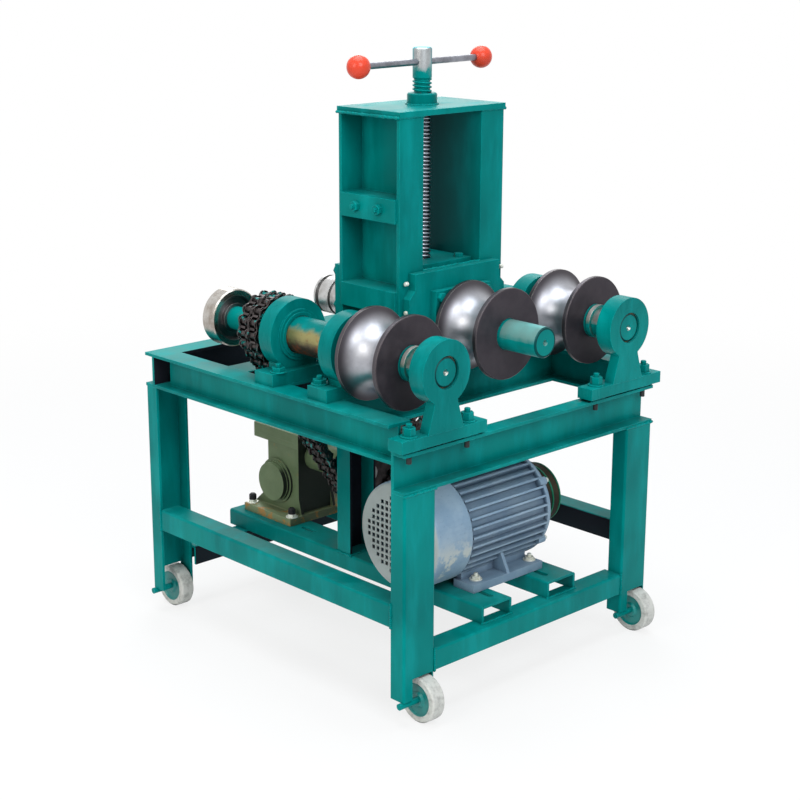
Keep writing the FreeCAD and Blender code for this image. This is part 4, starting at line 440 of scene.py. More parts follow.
# %% Shaft finishes
SHAFT_BARE = (0.55, 0.54, 0.50)
SLEEVE_BRONZE = (0.34, 0.30, 0.13)
SLEEVE_UNDER_SHADE = (0.10, 0.065, 0.045)
SLEEVE_RUST = (0.25, 0.07, 0.03)
collar_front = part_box("left_spacers")[0].y
DIMPLE = 0.0036
SHAFT_END_EDGE = 0.0202
JOURNAL = 0.0075
THIN_LINE = 0.0006
DISC_RIM = (0.011, 0.009)


def rubbed_and_lit_top(finish):
    """Share of the journal just behind a pedestal that is bare: its upper half, partly wear and partly a
    painted highlight on top.
    """
    cloud = finish.math("SUBTRACT", finish.noise(60.0, 4.0), 0.5)
    # Only the upper half is bare, as a painted highlight on top of the worn journal.
    turned = finish.math("ADD", finish.facing("Z"), finish.times(cloud, 0.6))
    behind = finish.between(finish.axis("Y"), collar_front + JOURNAL, collar_front + JOURNAL - THIN_LINE)
    return finish.times(behind, finish.between(turned, -0.10, 0.35))


def shaft_finish(name, node, journal):
    """Green with a lathe centre and a black line round the end; journal is how bare its top is."""
    finish = enamel(name, dust=0.05, lumps=0.00005)
    out = finish.from_axis("XZ", middle_of(node))
    front = finish.looks_back("Y", -0.55, -0.75)
    side = finish.math("SUBTRACT", 1.0, front)
    drilled = finish.times(front, finish.between(out, DIMPLE + 0.0004, DIMPLE))
    outline = finish.times(finish.between(out, SHAFT_END_EDGE - THIN_LINE, SHAFT_END_EDGE), front)
    rubbed_and_lit = finish.times(rubbed_and_lit_top(finish), side, journal)
    bare = finish.math("MAXIMUM", drilled, rubbed_and_lit)
    colour = finish.glaze(outline, 0.9, finish.colour, ENAMEL_SHADE_AND_GRIME)
    metal = finish.blend(drilled, SHAFT_BARE, (0.26, 0.25, 0.23))
    finish.set(base_color=finish.blend(bare, colour, metal), metallic=bare)
    finish.set(roughness=finish.fade(bare, finish.rough, 0.3))
    return finish


print("bare places from", round(collar_front, 4), "m")


# %% Spacers and rear discs
def spacer_finish(name):
    """Green collar in front, and bare bronze between the housings, darker underneath as painted shade."""
    finish = enamel(name, dust=0.05)
    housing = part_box("bearing_housings")
    sleeve = finish.between(finish.axis("Y"), housing[0].y - 0.004, housing[0].y + 0.02)
    cloud = finish.math("SUBTRACT", finish.noise(32.0, 4.0), 0.5)
    turned = finish.math("ADD", finish.facing("Z"), finish.times(cloud, 0.9))
    overspray = finish.between(turned, 0.45, 0.80)
    # Painted shade: the bronze goes dark brown on the underside.
    under = finish.between(turned, 0.25, -0.35)
    rust = finish.patches(0.50, 0.66, 24.0, 5.0, 0.7)
    metal = finish.blend(under, SLEEVE_BRONZE, SLEEVE_UNDER_SHADE)
    metal = finish.glaze(rust, 0.8, metal, SLEEVE_RUST)
    bare = finish.times(sleeve, finish.math("SUBTRACT", 1.0, overspray))
    gap = finish.math("COMPARE", finish.axis("Y"), collar_front + JOURNAL + THIN_LINE, THIN_LINE)
    painted = finish.glaze(gap, 0.9, finish.colour, ENAMEL_SHADE_AND_GRIME)
    rubbed_and_lit = rubbed_and_lit_top(finish)
    metal = finish.blend(rubbed_and_lit, metal, SHAFT_BARE)
    bare = finish.math("MAXIMUM", bare, rubbed_and_lit)
    finish.set(base_color=finish.blend(bare, painted, metal))
    finish.set(metallic=finish.times(bare, 0.8))
    finish.set(roughness=finish.fade(bare, finish.rough, finish.fade(rust, 0.36, 0.6)))
    return finish


def disc_finish(name, node):
    """Rear disc: turned rim, dark dished face."""
    finish = Finish(name)
    out = finish.from_axis("XZ", middle_of(node))
    rim = finish.between(out, *(disc_radius - inset for inset in DISC_RIM))
    cloud = finish.patches(0.3, 0.72, 45.0, 5.0, 0.65)
    dark = finish.blend(cloud, (0.13, 0.13, 0.14), (0.21, 0.20, 0.20))
    bright = finish.blend(cloud, (0.55, 0.53, 0.50), (0.32, 0.28, 0.24))
    edge = finish.times(finish.corners(0.001), 0.6)
    colour = finish.blend(edge, finish.blend(rim, dark, bright), (0.62, 0.58, 0.54))
    finish.set(base_color=colour, metallic=1.0, roughness=finish.fade(rim, 0.40, 0.26))
    finish.lathe_sheen(middle_of(node), 0.7)
    finish.relief(turned_rings(finish, "Y", 6000.0), 0.00001, 0.0005)
    return finish


for shaft, journal in (("left_shaft", 1.0), ("right_shaft", 1.0), ("centre_shaft", 0.25)):
    wear([shaft], shaft_finish(f"{shaft}_paint", shaft, journal))
wear(["left_spacers", "right_spacers"], spacer_finish("spacer_mixed"))
for disc in ("left_rear_disc", "right_rear_disc"):
    wear([disc], disc_finish(f"{disc}_steel", disc))
wear(["shaft_bushes"], steel("bush_bronze", (0.50, 0.34, 0.15), (0.30, 0.18, 0.07), 0.3, 0.5))
print("shafts, collars and sleeves finished")

# %% [markdown]
# ## Drive colours
#
# Bought-in parts keep their maker's own paints: a grey-blue motor, a pale fan cover, an olive gearbox.
# They are satin, a little chalky, with bare and rusty places where spanners and feet have worn them.

# %% Drive finishes
MOTOR_BLUE = (0.20, 0.30, 0.41)
MOTOR_PALE = (0.42, 0.52, 0.60)
MOTOR_DARK = (0.03, 0.05, 0.09)
COWL_PALE = (0.44, 0.49, 0.49)
GEAR_OLIVE = (0.12, 0.17, 0.085)
GEAR_PALE = (0.24, 0.30, 0.18)
GEAR_DARK = (0.016, 0.022, 0.017)
SATIN_SHEEN = 0.18
RUST = (0.42, 0.15, 0.03)
FOOT_PALE = (0.27, 0.31, 0.18)
FOOT_RUST = (0.42, 0.22, 0.07)
TREAD = (0.705, 0.725)


def satin(name, main, pale, dark, rust=0.0, gloss=0.42, paint_front_shade=False):
    """A machine paint: cloudy, paler on edges, darker in nooks as painted shade, with rust spots if asked
    for.

    On request, faces that look forward under the table take the dark colour as painted shade."""
    finish = Finish(name)
    cloud = finish.patches(0.35, 0.7, 18.0, 4.0, 0.6)
    colour = finish.glaze(cloud, 0.35, main, pale)
    speck = finish.patches(0.6, 0.72, 240.0, 3.0, 0.7)
    colour = finish.glaze(speck, 0.25, colour, dark)
    colour = finish.glaze(finish.corners(0.0012), 0.6, colour, pale)
    # Painted shade: darker deep in nooks, by ambient occlusion.
    colour = finish.glaze(finish.nooks(0.018), 0.75, colour, dark)
    if rust:
        spots = finish.patches(0.60, 0.68, 55.0, 6.0, 0.75)
        colour = finish.glaze(spots, rust, colour, RUST)
    # Painted shade: faces that look forward take the dark colour.
    if paint_front_shade:
        colour = finish.blend(finish.looks_back("Y"), colour, dark)
    finish.set(base_color=colour, specular_ior_level=SATIN_SHEEN)
    finish.set(roughness=finish.fade(cloud, gloss, gloss + 0.15))
    finish.relief(finish.noise(420.0, 3.0, 0.6), 0.00012, 0.0012)
    finish.colour = colour
    return finish


print("satin paint ready")

# %% Paint the drive
motor_paint = satin("motor_paint", MOTOR_BLUE, MOTOR_PALE, MOTOR_DARK)
# The gearbox's forward faces get the painted shade.
gear_paint = satin("gear_paint", GEAR_OLIVE, GEAR_PALE, GEAR_DARK, rust=0.25, paint_front_shade=True)
FOOT_TOP = 0.014
foot_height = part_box("gearbox_housing")[0].z + FOOT_TOP
foot = gear_paint.between(gear_paint.axis("Z"), foot_height + 0.002, foot_height)
foot_paint = gear_paint.glaze(foot, 0.5, gear_paint.colour, FOOT_PALE)
rusty = gear_paint.patches(0.52, 0.60, 42.0, 6.0, 0.7)
gear_paint.set(base_color=gear_paint.glaze(foot, rusty, foot_paint, FOOT_RUST))
pulley_paint = satin("pulley_paint", (0.002, 0.12, 0.06), (0.05, 0.30, 0.19), (0.01, 0.02, 0.015))
belt_cloth = satin("belt_cloth", (0.014, 0.013, 0.012), (0.10, 0.075, 0.035), (0.004, 0.004, 0.004),
                   gloss=0.7)
fan_black = satin("fan_black", (0.012, 0.012, 0.014), (0.04, 0.04, 0.045), (0.004, 0.004, 0.004))
wear(["motor_frame", "motor_end_bells", "terminal_box"], motor_paint)
wear(["gearbox_housing", "gearbox_covers"], gear_paint)
wear(["motor_pulley", "input_pulley"], pulley_paint)
wear(["drive_belts"], belt_cloth)
wear(["motor_fan"], fan_black)
wear(["drive_bolts"], zinc)
print("motor, gearbox, pulleys, belts and fan painted")


# %% Knobs and castors
def knob_finish():
    finish = Finish("knob_red")
    scuff = finish.patches(0.55, 0.75, 130.0, 5.0, 0.7)
    cloud = finish.noise(28.0, 3.0)
    colour = finish.blend(cloud, (0.76, 0.075, 0.032), (0.60, 0.045, 0.022))
    finish.set(base_color=finish.glaze(scuff, 0.3, colour, (0.45, 0.10, 0.07)))
    finish.set(roughness=finish.fade(scuff, 0.24, 0.5), specular_ior_level=0.25)
    finish.relief(finish.noise(300.0, 2.0), 0.00004)
    return finish


wear(["tommy_balls"], knob_finish())


def castor_finish(name, node):
    """Green dished hub inside a grey moulded tread."""
    finish = Finish(name)
    out = finish.from_axis("YZ", middle_of(node))
    tread = finish.between(out, *(castor_radius * share for share in TREAD))
    scuff = finish.patches(0.42, 0.7, 70.0, 5.0, 0.7)
    rubber = finish.blend(scuff, (0.60, 0.60, 0.57), (0.36, 0.36, 0.34))
    paint = finish.blend(scuff, ENAMEL, ENAMEL_DEEP)
    paint = finish.glaze(finish.corners(0.0012), 0.5, paint, ENAMEL_WEAR_AND_HIGHLIGHT)
    colour = finish.blend(tread, paint, rubber)
    # Painted shade: darker deep in crevices, by ambient occlusion.
    finish.set(base_color=finish.blend(finish.nooks(0.01), colour, (0.02, 0.03, 0.03)))
    finish.set(roughness=finish.fade(tread, 0.34, finish.fade(scuff, 0.62, 0.8)))
    finish.relief(finish.noise(500.0, 3.0, 0.6), 0.00010, 0.0010)
    return finish


for node in nodes:
    if node.endswith("_castor"):
        wear([node], castor_finish(f"{node}_finish", node))
print("knobs and castors finished")

# %% [markdown]
# ## A small kit for Geometry Nodes
#
# Whatever repeats is grown by a node tree: one link, one thread turn or one hole is described once, and
# the tree sets it out. Growth writes such a tree in code. Its inputs are named and can be tried out by
# hand in the modifier panel before the result is turned into a plain mesh.


# %% Geometry kit
def new_object(name, data):
    """An object in the scene."""
    made = bpy.data.objects.new(name, data)
    bpy.context.scene.collection.objects.link(made)
    return made


class Growth(Tree):
    """A Geometry Nodes tree."""

    def __init__(self, name):
        super().__init__(bpy.data.node_groups.new(name, "GeometryNodeTree"))
        self.values = {}
        for way in ("INPUT", "OUTPUT"):
            self.tree.interface.new_socket("Geometry", in_out=way, socket_type="NodeSocketGeometry")
        self.entry = self.add("NodeGroupInput")
        self.base = self.entry.outputs["Geometry"]

    def given(self, name, kind, value):
        """A named input of the tree, with the value it gets here."""
        made = self.tree.interface.new_socket(name, in_out="INPUT", socket_type=f"NodeSocket{kind}")
        self.values[made.identifier] = value
        return self.entry.outputs[name]

    def chance(self, low, high, seed):
        """A random number for each copy, the same on every run."""
        return self.add("FunctionNodeRandomValue", {"data_type": "FLOAT"}, _2=low, _3=high,
                        Seed=seed).outputs[1]

    def copies(self, places, shape, **inputs):
        return self.new("GeometryNodeInstanceOnPoints", Points=places, Instance=shape, **inputs)

    def shape_of(self, thing):
        return self.add("GeometryNodeObjectInfo", Object=thing).outputs["Geometry"]

    def join(self, *parts):
        node = self.add("GeometryNodeJoinGeometry")
        for part in parts:
            self.put(node.inputs[0], part)
        return node.outputs[0]

    def real(self, copies):
        return self.new("GeometryNodeRealizeInstances", Geometry=copies)

    def grow(self, name, mesh, result, finish, body, slot):
        """Run the tree on a base mesh and leave a plain piece that rides on a body."""
        painted = self.new("GeometryNodeSetMaterial", Geometry=self.real(result), Material=finish.material)
        self.add("NodeGroupOutput", _0=painted)
        piece = new_object(name, mesh)
        modifier = piece.modifiers.new("growth", "NODES")
        modifier.node_group = self.tree
        for identifier, value in self.values.items():
            modifier[identifier] = value
        bpy.context.view_layer.update()
        ready = piece.evaluated_get(bpy.context.evaluated_depsgraph_get())
        piece.data = bpy.data.meshes.new_from_object(ready)
        piece.modifiers.clear()
        piece.data.validate()
        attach(piece, body)
        print(name, len(piece.data.polygons), "faces")
        return piece


def plain_mesh(name, points, faces=(), edges=()):
    mesh = bpy.data.meshes.new(name)
    mesh.from_pydata([tuple(point) for point in points], list(edges), list(faces))
    mesh.update()
    return mesh


def turned_mesh(name, outline, steps=48, ring=False):
    """Turn an outline of (height, radius) about Z. Radius 0 closes it, and so does ring=True."""
    points = []
    rings = []
    for height, radius in outline:
        if radius == 0:
            rings.append([len(points)] * steps)
            points.append((0, 0, height))
            continue
        rings.append(list(range(len(points), len(points) + steps)))
        for step in range(steps):
            angle = 2 * math.pi * step / steps
            points.append((radius * math.cos(angle), radius * math.sin(angle), height))
    faces = []
    for low_ring, high_ring in zip(rings, rings[1:] + (rings[:1] if ring else [])):
        for step in range(steps):
            after = (step + 1) % steps
            corners = (low_ring[step], low_ring[after], high_ring[after], high_ring[step])
            faces.append(tuple(dict.fromkeys(corners)))
    return plain_mesh(name, points, faces)


print("geometry kit ready")

# %% [markdown]
# ## Drive chain
#
# A duplex roller chain is two kinds of link in turn: inner links carry the rollers, outer links carry
# the pins that pass through them. Modelling every link by hand would be slow, and one that is bent
# by an armature would stretch. So each kind is made once, and a tree sets it on every second pin, turned
# towards the next. The pins are read from the engineered chain, so the teeth still meet the rollers.

# %% Chain pins
PITCH = 0.01905
ROW_GAP = 0.0228
TOOTH = 0.0116
ROLLER_HALF = 0.0062
ON_FACE = 0.00005
chain_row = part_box("left_sprocket")[0].y + TOOTH / 2


def chain_pins():
    """Middles of the rollers of the front row, in order round the chain."""
    face = chain_row - ROLLER_HALF
    points = {(round(v.co.x, 4), round(v.co.z, 4)) for v in nodes["drive_chain"].data.vertices
              if abs(v.co.y - face) < ON_FACE}
    waiting = [Vector((x, 0, z)) for x, z in sorted(points)]
    middles = []
    while waiting:
        group = [waiting.pop()]
        for member in group:
            near = [point for point in waiting if (point - member).length < PITCH * 0.35]
            group += near
            waiting = [point for point in waiting if point not in near]
        middles.append(sum(group, Vector()) / len(group))
    ordered = [middles.pop()]
    while middles:
        nearest = min(middles, key=lambda point: (point - ordered[-1]).length)
        middles.remove(nearest)
        ordered.append(nearest)
    return [Vector((point.x, chain_row, point.z)) for point in ordered]


pins = chain_pins()
print(len(pins), "pins, pitch", round((pins[1] - pins[0]).length * 1000, 2), "mm")

# %% Chain links
PLATE = 0.0024
PLATE_END = 0.0088
PLATE_WAIST = 0.0046
ROLLER_RADIUS = 0.0059
PIN_RADIUS = 0.0030
LINK_SLACK = 0.0002
ROLLER_PLAY = 0.00015
PIN_END = 0.0012


def plate_outline():
    """Figure-eight outline of a link plate, from pin to pin along X."""
    outline = []
    for middle, start in ((PITCH, -70), (0.0, 110)):
        for step in range(6):
            angle = math.radians(start + 28 * step)
            outline.append((middle + PLATE_END * math.cos(angle), PLATE_END * math.sin(angle)))
        waist = PLATE_WAIST if middle else -PLATE_WAIST
        outline.append((PITCH / 2, waist))
    return outline


def prism(outline, front, back, points, faces):
    """Add a closed prism along Y over an (x, z) outline."""
    first = len(points)
    count = len(outline)
    for y in (front, back):
        points.extend((x, y, z) for x, z in outline)
    faces.append(tuple(range(first, first + count)))
    faces.append(tuple(range(first + 2 * count - 1, first + count - 1, -1)))
    for step in range(count):
        after = (step + 1) % count
        faces.append((first + after, first + step, first + count + step, first + count + after))


def ring_outline(middle, radius, corners):
    return [(middle + radius * math.cos(2 * math.pi * k / corners),
             radius * math.sin(2 * math.pi * k / corners)) for k in range(corners)]


def link_mesh(name, levels, rounds):
    """Plates between the given places along Y, and round parts (middle, radius, front, back)."""
    points = []
    faces = []
    for front, back in levels:
        prism(plate_outline(), front, back, points, faces)
    for middle, radius, front, back in rounds:
        prism(ring_outline(middle, radius, 12), front, back, points, faces)
    return bpy.data.objects.new(name, plain_mesh(name, points, faces))


side = ROLLER_HALF + ROLLER_PLAY
outside = side + PLATE
inner_levels = [tuple(sorted((row + sign * side, row + sign * outside)))
                for row in (0, ROW_GAP) for sign in (-1, 1)]
rollers = [(middle, ROLLER_RADIUS, row - ROLLER_HALF, row + ROLLER_HALF)
           for middle in (0, PITCH) for row in (0, ROW_GAP)]
inner_link = link_mesh("inner_link", inner_levels, rollers)
past = outside + LINK_SLACK
pin_reach = past + PLATE + PIN_END
outer_levels = [(-past - PLATE, -past), (past, ROW_GAP - past), (ROW_GAP + past, ROW_GAP + past + PLATE)]
pin_rods = [(middle, PIN_RADIUS, -pin_reach, ROW_GAP + pin_reach) for middle in (0, PITCH)]
outer_link = link_mesh("outer_link", outer_levels, pin_rods)
print("link faces", len(inner_link.data.polygons), len(outer_link.data.polygons))

# %% Chain tree
chain_finish = steel("chain_steel", (0.095, 0.082, 0.080), (0.022, 0.020, 0.022), 0.26, 0.5, mottling=150.0)
specks = chain_finish.patches(0.60, 0.64, 95.0, 4.0)
chain_finish.set(base_color=chain_finish.blend(specks, chain_finish.colour, ENAMEL))
chain_finish.set(metallic=chain_finish.math("SUBTRACT", 1.0, specks))
tree = Growth("chain")
count = tree.given("Links", "Int", len(pins))
inner = tree.given("Inner link", "Object", inner_link)
outer = tree.given("Outer link", "Object", outer_link)
index = tree.new("GeometryNodeInputIndex")
here = tree.new("GeometryNodeInputPosition")
following = tree.math("MODULO", tree.math("ADD", index, 1.0), count)
ahead = tree.new("GeometryNodeSampleIndex", {"data_type": "FLOAT_VECTOR"}, Geometry=tree.base,
                 Value=here, Index=following)
turn = tree.new("FunctionNodeAlignRotationToVector", {"axis": "X", "pivot_axis": "Y"},
                Vector=tree.vector("SUBTRACT", ahead, here))
odd = tree.math("MODULO", index, 2.0)
links = [tree.copies(tree.base, tree.shape_of(link), Selection=chosen, Rotation=turn)
         for link, chosen in ((inner, odd), (outer, tree.math("SUBTRACT", 1.0, odd)))]
chain = tree.grow("roller_chain", plain_mesh("pins", pins), tree.join(*links), chain_finish, "frame",
                  "chain_steel")
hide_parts("drive_chain")

# %% [markdown]
# ## Lead screw thread
#
# The screw is a trapezoidal thread of 6 mm lead. A displacement map could fake it, but its silhouette
# would stay straight. Here a spiral carries a trapezoid profile round a slimmer core, which is what a
# thread is, and the plain head over it keeps the full diameter for the tommy bar.

# %% Lead screw
THREAD_LEAD = 0.006
THREAD_DEPTH = 0.0026
HEAD_LENGTH = 0.046
SUNK = 0.0002
RIDGE = 0.0028
RIDGE_FOOT = 0.0023
RIDGE_TOP = 0.0011
THREAD_START = 0.004
THREAD_END = 0.002
FLANGE = 0.009
EDGE_CUT = 0.002
screw_low, screw_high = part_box("lead_screw")
screw_radius = 0.015
flange_radius = size_of("lead_screw").x / 2
head_low = screw_high.z - HEAD_LENGTH
core = screw_radius - THREAD_DEPTH
screw_outline = [
    (screw_low.z, 0), (screw_low.z, flange_radius), (screw_low.z + FLANGE, flange_radius),
    (screw_low.z + FLANGE, core), (head_low - THREAD_DEPTH, core), (head_low, screw_radius),
    (screw_high.z - EDGE_CUT, screw_radius), (screw_high.z, screw_radius - EDGE_CUT), (screw_high.z, 0),
]
screw_mesh = turned_mesh("screw_core", screw_outline)
for vertex in screw_mesh.vertices:
    vertex.co.x += screw_middle.x
    vertex.co.y += screw_middle.y
thread_low = screw_low.z + FLANGE + THREAD_START
tree = Growth("screw_thread")
lead = tree.given("Lead", "Float", THREAD_LEAD)
length = tree.given("Threaded length", "Float", head_low - thread_low - THREAD_END)
spiral = tree.new("GeometryNodeCurveSpiral", Resolution=28, Rotations=tree.math("DIVIDE", length, lead),
                  Start_Radius=core - SUNK, End_Radius=core - SUNK, Height=length)
upright = tree.new("GeometryNodeSetCurveNormal", {"mode": "Z_UP"}, Curve=spiral)
profile = tree.new("GeometryNodeCurvePrimitiveQuadrilateral", {"mode": "POINTS"}, **{
    f"Point_{number}": (-out, along, 0) for number, (out, along) in enumerate(
        ((0, -RIDGE_FOOT), (RIDGE, -RIDGE_TOP), (RIDGE, RIDGE_TOP), (0, RIDGE_FOOT)), 1)})
ridge = tree.new("GeometryNodeCurveToMesh", Curve=upright, Profile_Curve=profile,
                 Fill_Caps=True)
placed = tree.new("GeometryNodeTransform", Geometry=ridge,
                  Translation=(screw_middle.x, screw_middle.y, thread_low))
boss_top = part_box("screw_boss")[1].z


def screw_finish():
    finish = Finish("screw_steel")
    height = finish.axis("Z")
    head = finish.between(height, head_low - 0.001, head_low + 0.001)
    cloud = finish.patches(0.32, 0.72, 60.0, 5.0, 0.65)
    out = finish.from_axis("XY", screw_middle)
    crest = finish.between(out, screw_radius - 0.0014, screw_radius - 0.0003)
    darkening = finish.blend(cloud, (0.075, 0.085, 0.10), (0.05, 0.055, 0.065))
    thread = finish.blend(crest, darkening, (0.36, 0.38, 0.43))
    plain = finish.blend(cloud, (0.42, 0.45, 0.46), (0.30, 0.31, 0.32))
    steel_colour = finish.blend(head, thread, plain)
    drift = finish.times(finish.math("SUBTRACT", cloud, 0.5), 0.012)
    level = finish.math("ADD", height, drift)
    above = finish.between(level, boss_top - 0.004, boss_top - 0.002)
    below = finish.between(level, head_low + HEAD_LENGTH * 0.45, head_low + HEAD_LENGTH * 0.15)
    green = finish.times(above, below)
    finish.set(base_color=finish.blend(green, steel_colour, ENAMEL))
    finish.set(metallic=finish.math("SUBTRACT", 1.0, green), specular_tint=ENAMEL_SHEEN)
    finish.set(roughness=finish.fade(cloud, 0.30, 0.46))
    finish.relief(turned_rings(finish, "Z", 6000.0), 0.00001, 0.0004)
    return finish


threaded_screw = tree.grow("threaded_screw", screw_mesh, tree.join(tree.base, placed), screw_finish(),
                           "screw", "bar_steel")
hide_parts("lead_screw")

# %% [markdown]
# ## Fan cover
#
# The cover is a pressed steel cap with square holes punched in straight columns, and a plain rim round
# them. A grid of cutters is culled to a circle and cut out of the cap in one go, so every hole has
# real depth and the fan shows through.

# %% Fan cover
HOLE = 0.0062
HOLE_PITCH = 0.010
ROWS = 13
COLUMNS = 14
PUNCHED_RADIUS = 0.064
OVAL = (1, 0.97, 1)
COWL_WALL = 0.0015
COWL_EDGE = 0.010
cowl_low, cowl_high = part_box("fan_cover")
cowl_radius = (cowl_high.z - cowl_low.z) / 2
cowl_middle = middle_of("fan_cover")
cowl_length = cowl_high.x - cowl_low.x


def cowl_outline():
    """Outside from the middle of the face, round the pressed edge to the open end, then back inside."""
    def side(radius, face, edge):
        bend = [(face + edge * (1 - math.sin(angle)), radius - edge * (1 - math.cos(angle)))
                for angle in (math.radians(90 - 15 * step) for step in range(7))]
        return [(face, 0)] + bend
    outer = side(cowl_radius, 0.0, COWL_EDGE) + [(cowl_length, cowl_radius)]
    inner = side(cowl_radius - COWL_WALL, COWL_WALL, COWL_EDGE - COWL_WALL)
    return outer + [(cowl_length, cowl_radius - COWL_WALL)] + inner[::-1]


cowl_mesh = turned_mesh("cowl", cowl_outline(), 72)
for vertex in cowl_mesh.vertices:
    across, up, along = vertex.co
    vertex.co = (cowl_low.x + along, cowl_middle.y + across, cowl_middle.z + up)
cowl_mesh.flip_normals()
tree = Growth("punched_holes")
pitch = tree.given("Hole pitch", "Float", HOLE_PITCH)
hole = tree.given("Hole side", "Float", HOLE)
reach = tree.given("Punched radius", "Float", PUNCHED_RADIUS)
grid = tree.new("GeometryNodeMeshGrid", Size_X=tree.times(pitch, ROWS - 1.0),
                Size_Y=tree.times(pitch, COLUMNS - 1.0), Vertices_X=ROWS, Vertices_Y=COLUMNS)
oval = tree.vector("MULTIPLY", tree.new("GeometryNodeInputPosition"), OVAL)
inside = tree.math("LESS_THAN", tree.vector("LENGTH", oval), reach)
hole_size = tree.new("ShaderNodeCombineXYZ", X=hole, Y=hole, Z=COWL_WALL * 6)
cube = tree.new("GeometryNodeMeshCube", Size=hole_size)
cutters = tree.copies(grid, cube, Selection=inside)
stood = tree.new("GeometryNodeTransform", Geometry=cutters, Rotation=(0, math.pi / 2, 0),
                 Translation=(cowl_low.x, cowl_middle.y, cowl_middle.z))
cut = tree.new("GeometryNodeMeshBoolean", {"operation": "DIFFERENCE"}, Mesh_1=tree.base,
               Mesh_2=tree.real(stood))


def cowl_finish():
    finish = satin("cowl_paint", MOTOR_BLUE, MOTOR_PALE, MOTOR_DARK, gloss=0.34)
    face = finish.between(finish.axis("X"), cowl_low.x + 0.006, cowl_low.x + 0.002)
    cloud = finish.noise(30.0, 5.0, 0.6)
    pale = finish.blend(cloud, COWL_PALE, (0.33, 0.37, 0.37))
    worn = finish.patches(0.52, 0.6, 22.0, 6.0, 0.7)
    low_side = finish.between(finish.axis("Z"), cowl_middle.z + 0.02, cowl_middle.z - 0.03)
    colour = finish.glaze(worn, low_side, finish.colour, (0.50, 0.53, 0.50))
    finish.set(base_color=finish.blend(face, colour, pale))
    return finish


punched_cover = tree.grow("punched_cover", cowl_mesh, cut, cowl_finish(), "frame", "cowl_paint")
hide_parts("fan_cover")

# %% [markdown]
# ## Washers, stud ends and small rings
#
# The engineered bolts are plain heads. Real ones sit on a washer, and the stud stands out over the nut
# and under the flange. The places come from the bolts themselves, and one tree copies a small turned
# shape to every place with a turn of its own.

# %% Places of the nuts
NUT_SPREAD = 0.03
NUT_SEAT = 0.93


def nuts_of(node):
    """(middle of the top, height of the seat) of each upright nut of a piece."""
    groups = []
    for vertex in nodes[node].data.vertices:
        near = [group for group in groups if (group[0].xy - vertex.co.xy).length < NUT_SPREAD]
        if near:
            near[0].append(vertex.co.copy())
        else:
            groups.append([vertex.co.copy()])
    found = []
    for group in groups:
        middle = Vector([(min(p[k] for p in group) + max(p[k] for p in group)) / 2 for k in (0, 1)])
        reach = max((p.xy - middle).length for p in group)
        seat = min(p.z for p in group if (p.xy - middle).length > reach * NUT_SEAT)
        found.append((Vector((*middle, max(p.z for p in group))), seat))
    return found


bearing_nuts = nuts_of("bearing_bolts")
drive_nuts = nuts_of("drive_bolts")
pedestal_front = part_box("pedestals")[0].y
print(len(bearing_nuts), "bearing nuts,", len(drive_nuts), "drive nuts")


# %% Copy a turned shape to places
def set_out(name, places, outline, finish, slot, steps=16, tilt=(0, 0, 0), body="frame", ring=False):
    """Turn an outline and copy it to places. Upright copies each get a turn of their own."""
    shape = bpy.data.objects.new(f"{name}_shape", turned_mesh(f"{name}_shape", outline, steps, ring))
    tree = Growth(name)
    given = tree.given("Shape", "Object", shape)
    spin = tree.chance(0.0, math.pi, 7)
    turn = tree.new("ShaderNodeCombineXYZ", X=tilt[0], Y=tilt[1], Z=tilt[2] if any(tilt) else spin)
    copies = tree.copies(tree.base, tree.shape_of(given), Rotation=turn)
    return tree.grow(name, plain_mesh(f"{name}_places", places), copies, finish, body, slot)


def button(radius, height, edge=0.0008):
    """Outline of a low round: a washer, a stud end or a cap."""
    return [(0, 0), (0, radius), (height - edge, radius), (height, radius - edge), (height, 0)]


WASHER = button(0.0132, 0.0022)
STUD_END = button(0.0046, 0.0060)
CAP = button(0.0066, 0.0110, 0.0025)
HANGING_STUD = button(0.0040, 0.0100)
set_out("bearing_washers", [(*top.xy, seat) for top, seat in bearing_nuts], WASHER, cast_enamel,
        "green_paint", 24)
set_out("bearing_stud_ends", [top for top, seat in bearing_nuts], STUD_END, cast_enamel, "green_paint")
set_out("drive_washers", [(*top.xy, seat) for top, seat in drive_nuts], button(0.0105, 0.0022), zinc,
        "zinc", 20)
set_out("drive_stud_ends", [top for top, seat in drive_nuts if top.y < 0], button(0.0036, 0.005), zinc,
        "zinc", 12)
set_out("stud_caps", [top for top, seat in drive_nuts if top.y > 0], CAP, fan_black, "fan_plastic")
UNDER_FLANGE = 0.0125
STUD_HANGS = 0.0095
FRONT_ROW = 0.03
front_studs = [(*top.xy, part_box("pedestals")[0].z - UNDER_FLANGE - STUD_HANGS)
               for top, seat in bearing_nuts if top.y < pedestal_front + FRONT_ROW]
stub_dark = satin("stub_dark", (0.020, 0.022, 0.024), (0.10, 0.10, 0.09), (0.006, 0.006, 0.006))
set_out("front_studs", front_studs, HANGING_STUD, stub_dark, "zinc")

# %% Rings on the housings and the motor
LIP = 0.0020
LIP_RADIUS = 0.0358
LIP_EDGE = 0.0006
SLEEVE_CLEAR = 0.0299
HOUSING_DEEP = 0.033
rear_housing_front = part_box("bearing_housings")[1].y - HOUSING_DEEP
lip_outline = [(0, SLEEVE_CLEAR), (0, LIP_RADIUS), (LIP - LIP_EDGE, LIP_RADIUS),
               (LIP, LIP_RADIUS - LIP_EDGE), (LIP, SLEEVE_CLEAR)]
set_out("housing_lips", [(side * roller_axis.x, rear_housing_front, roller_axis.z) for side in (-1, 1)],
        lip_outline, cast_enamel, "green_paint", 48, (math.pi / 2, 0, 0), ring=True)
ALONG_X = (0, math.pi / 2, 0)
FIN_TIP = 0.0868
BELL = 0.077
LUG_REACH = 0.0835
LUG_LENGTH = 0.018
LUG_ANGLES = (36, 144, 216, 324)
drive_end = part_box("motor_frame")[1].x
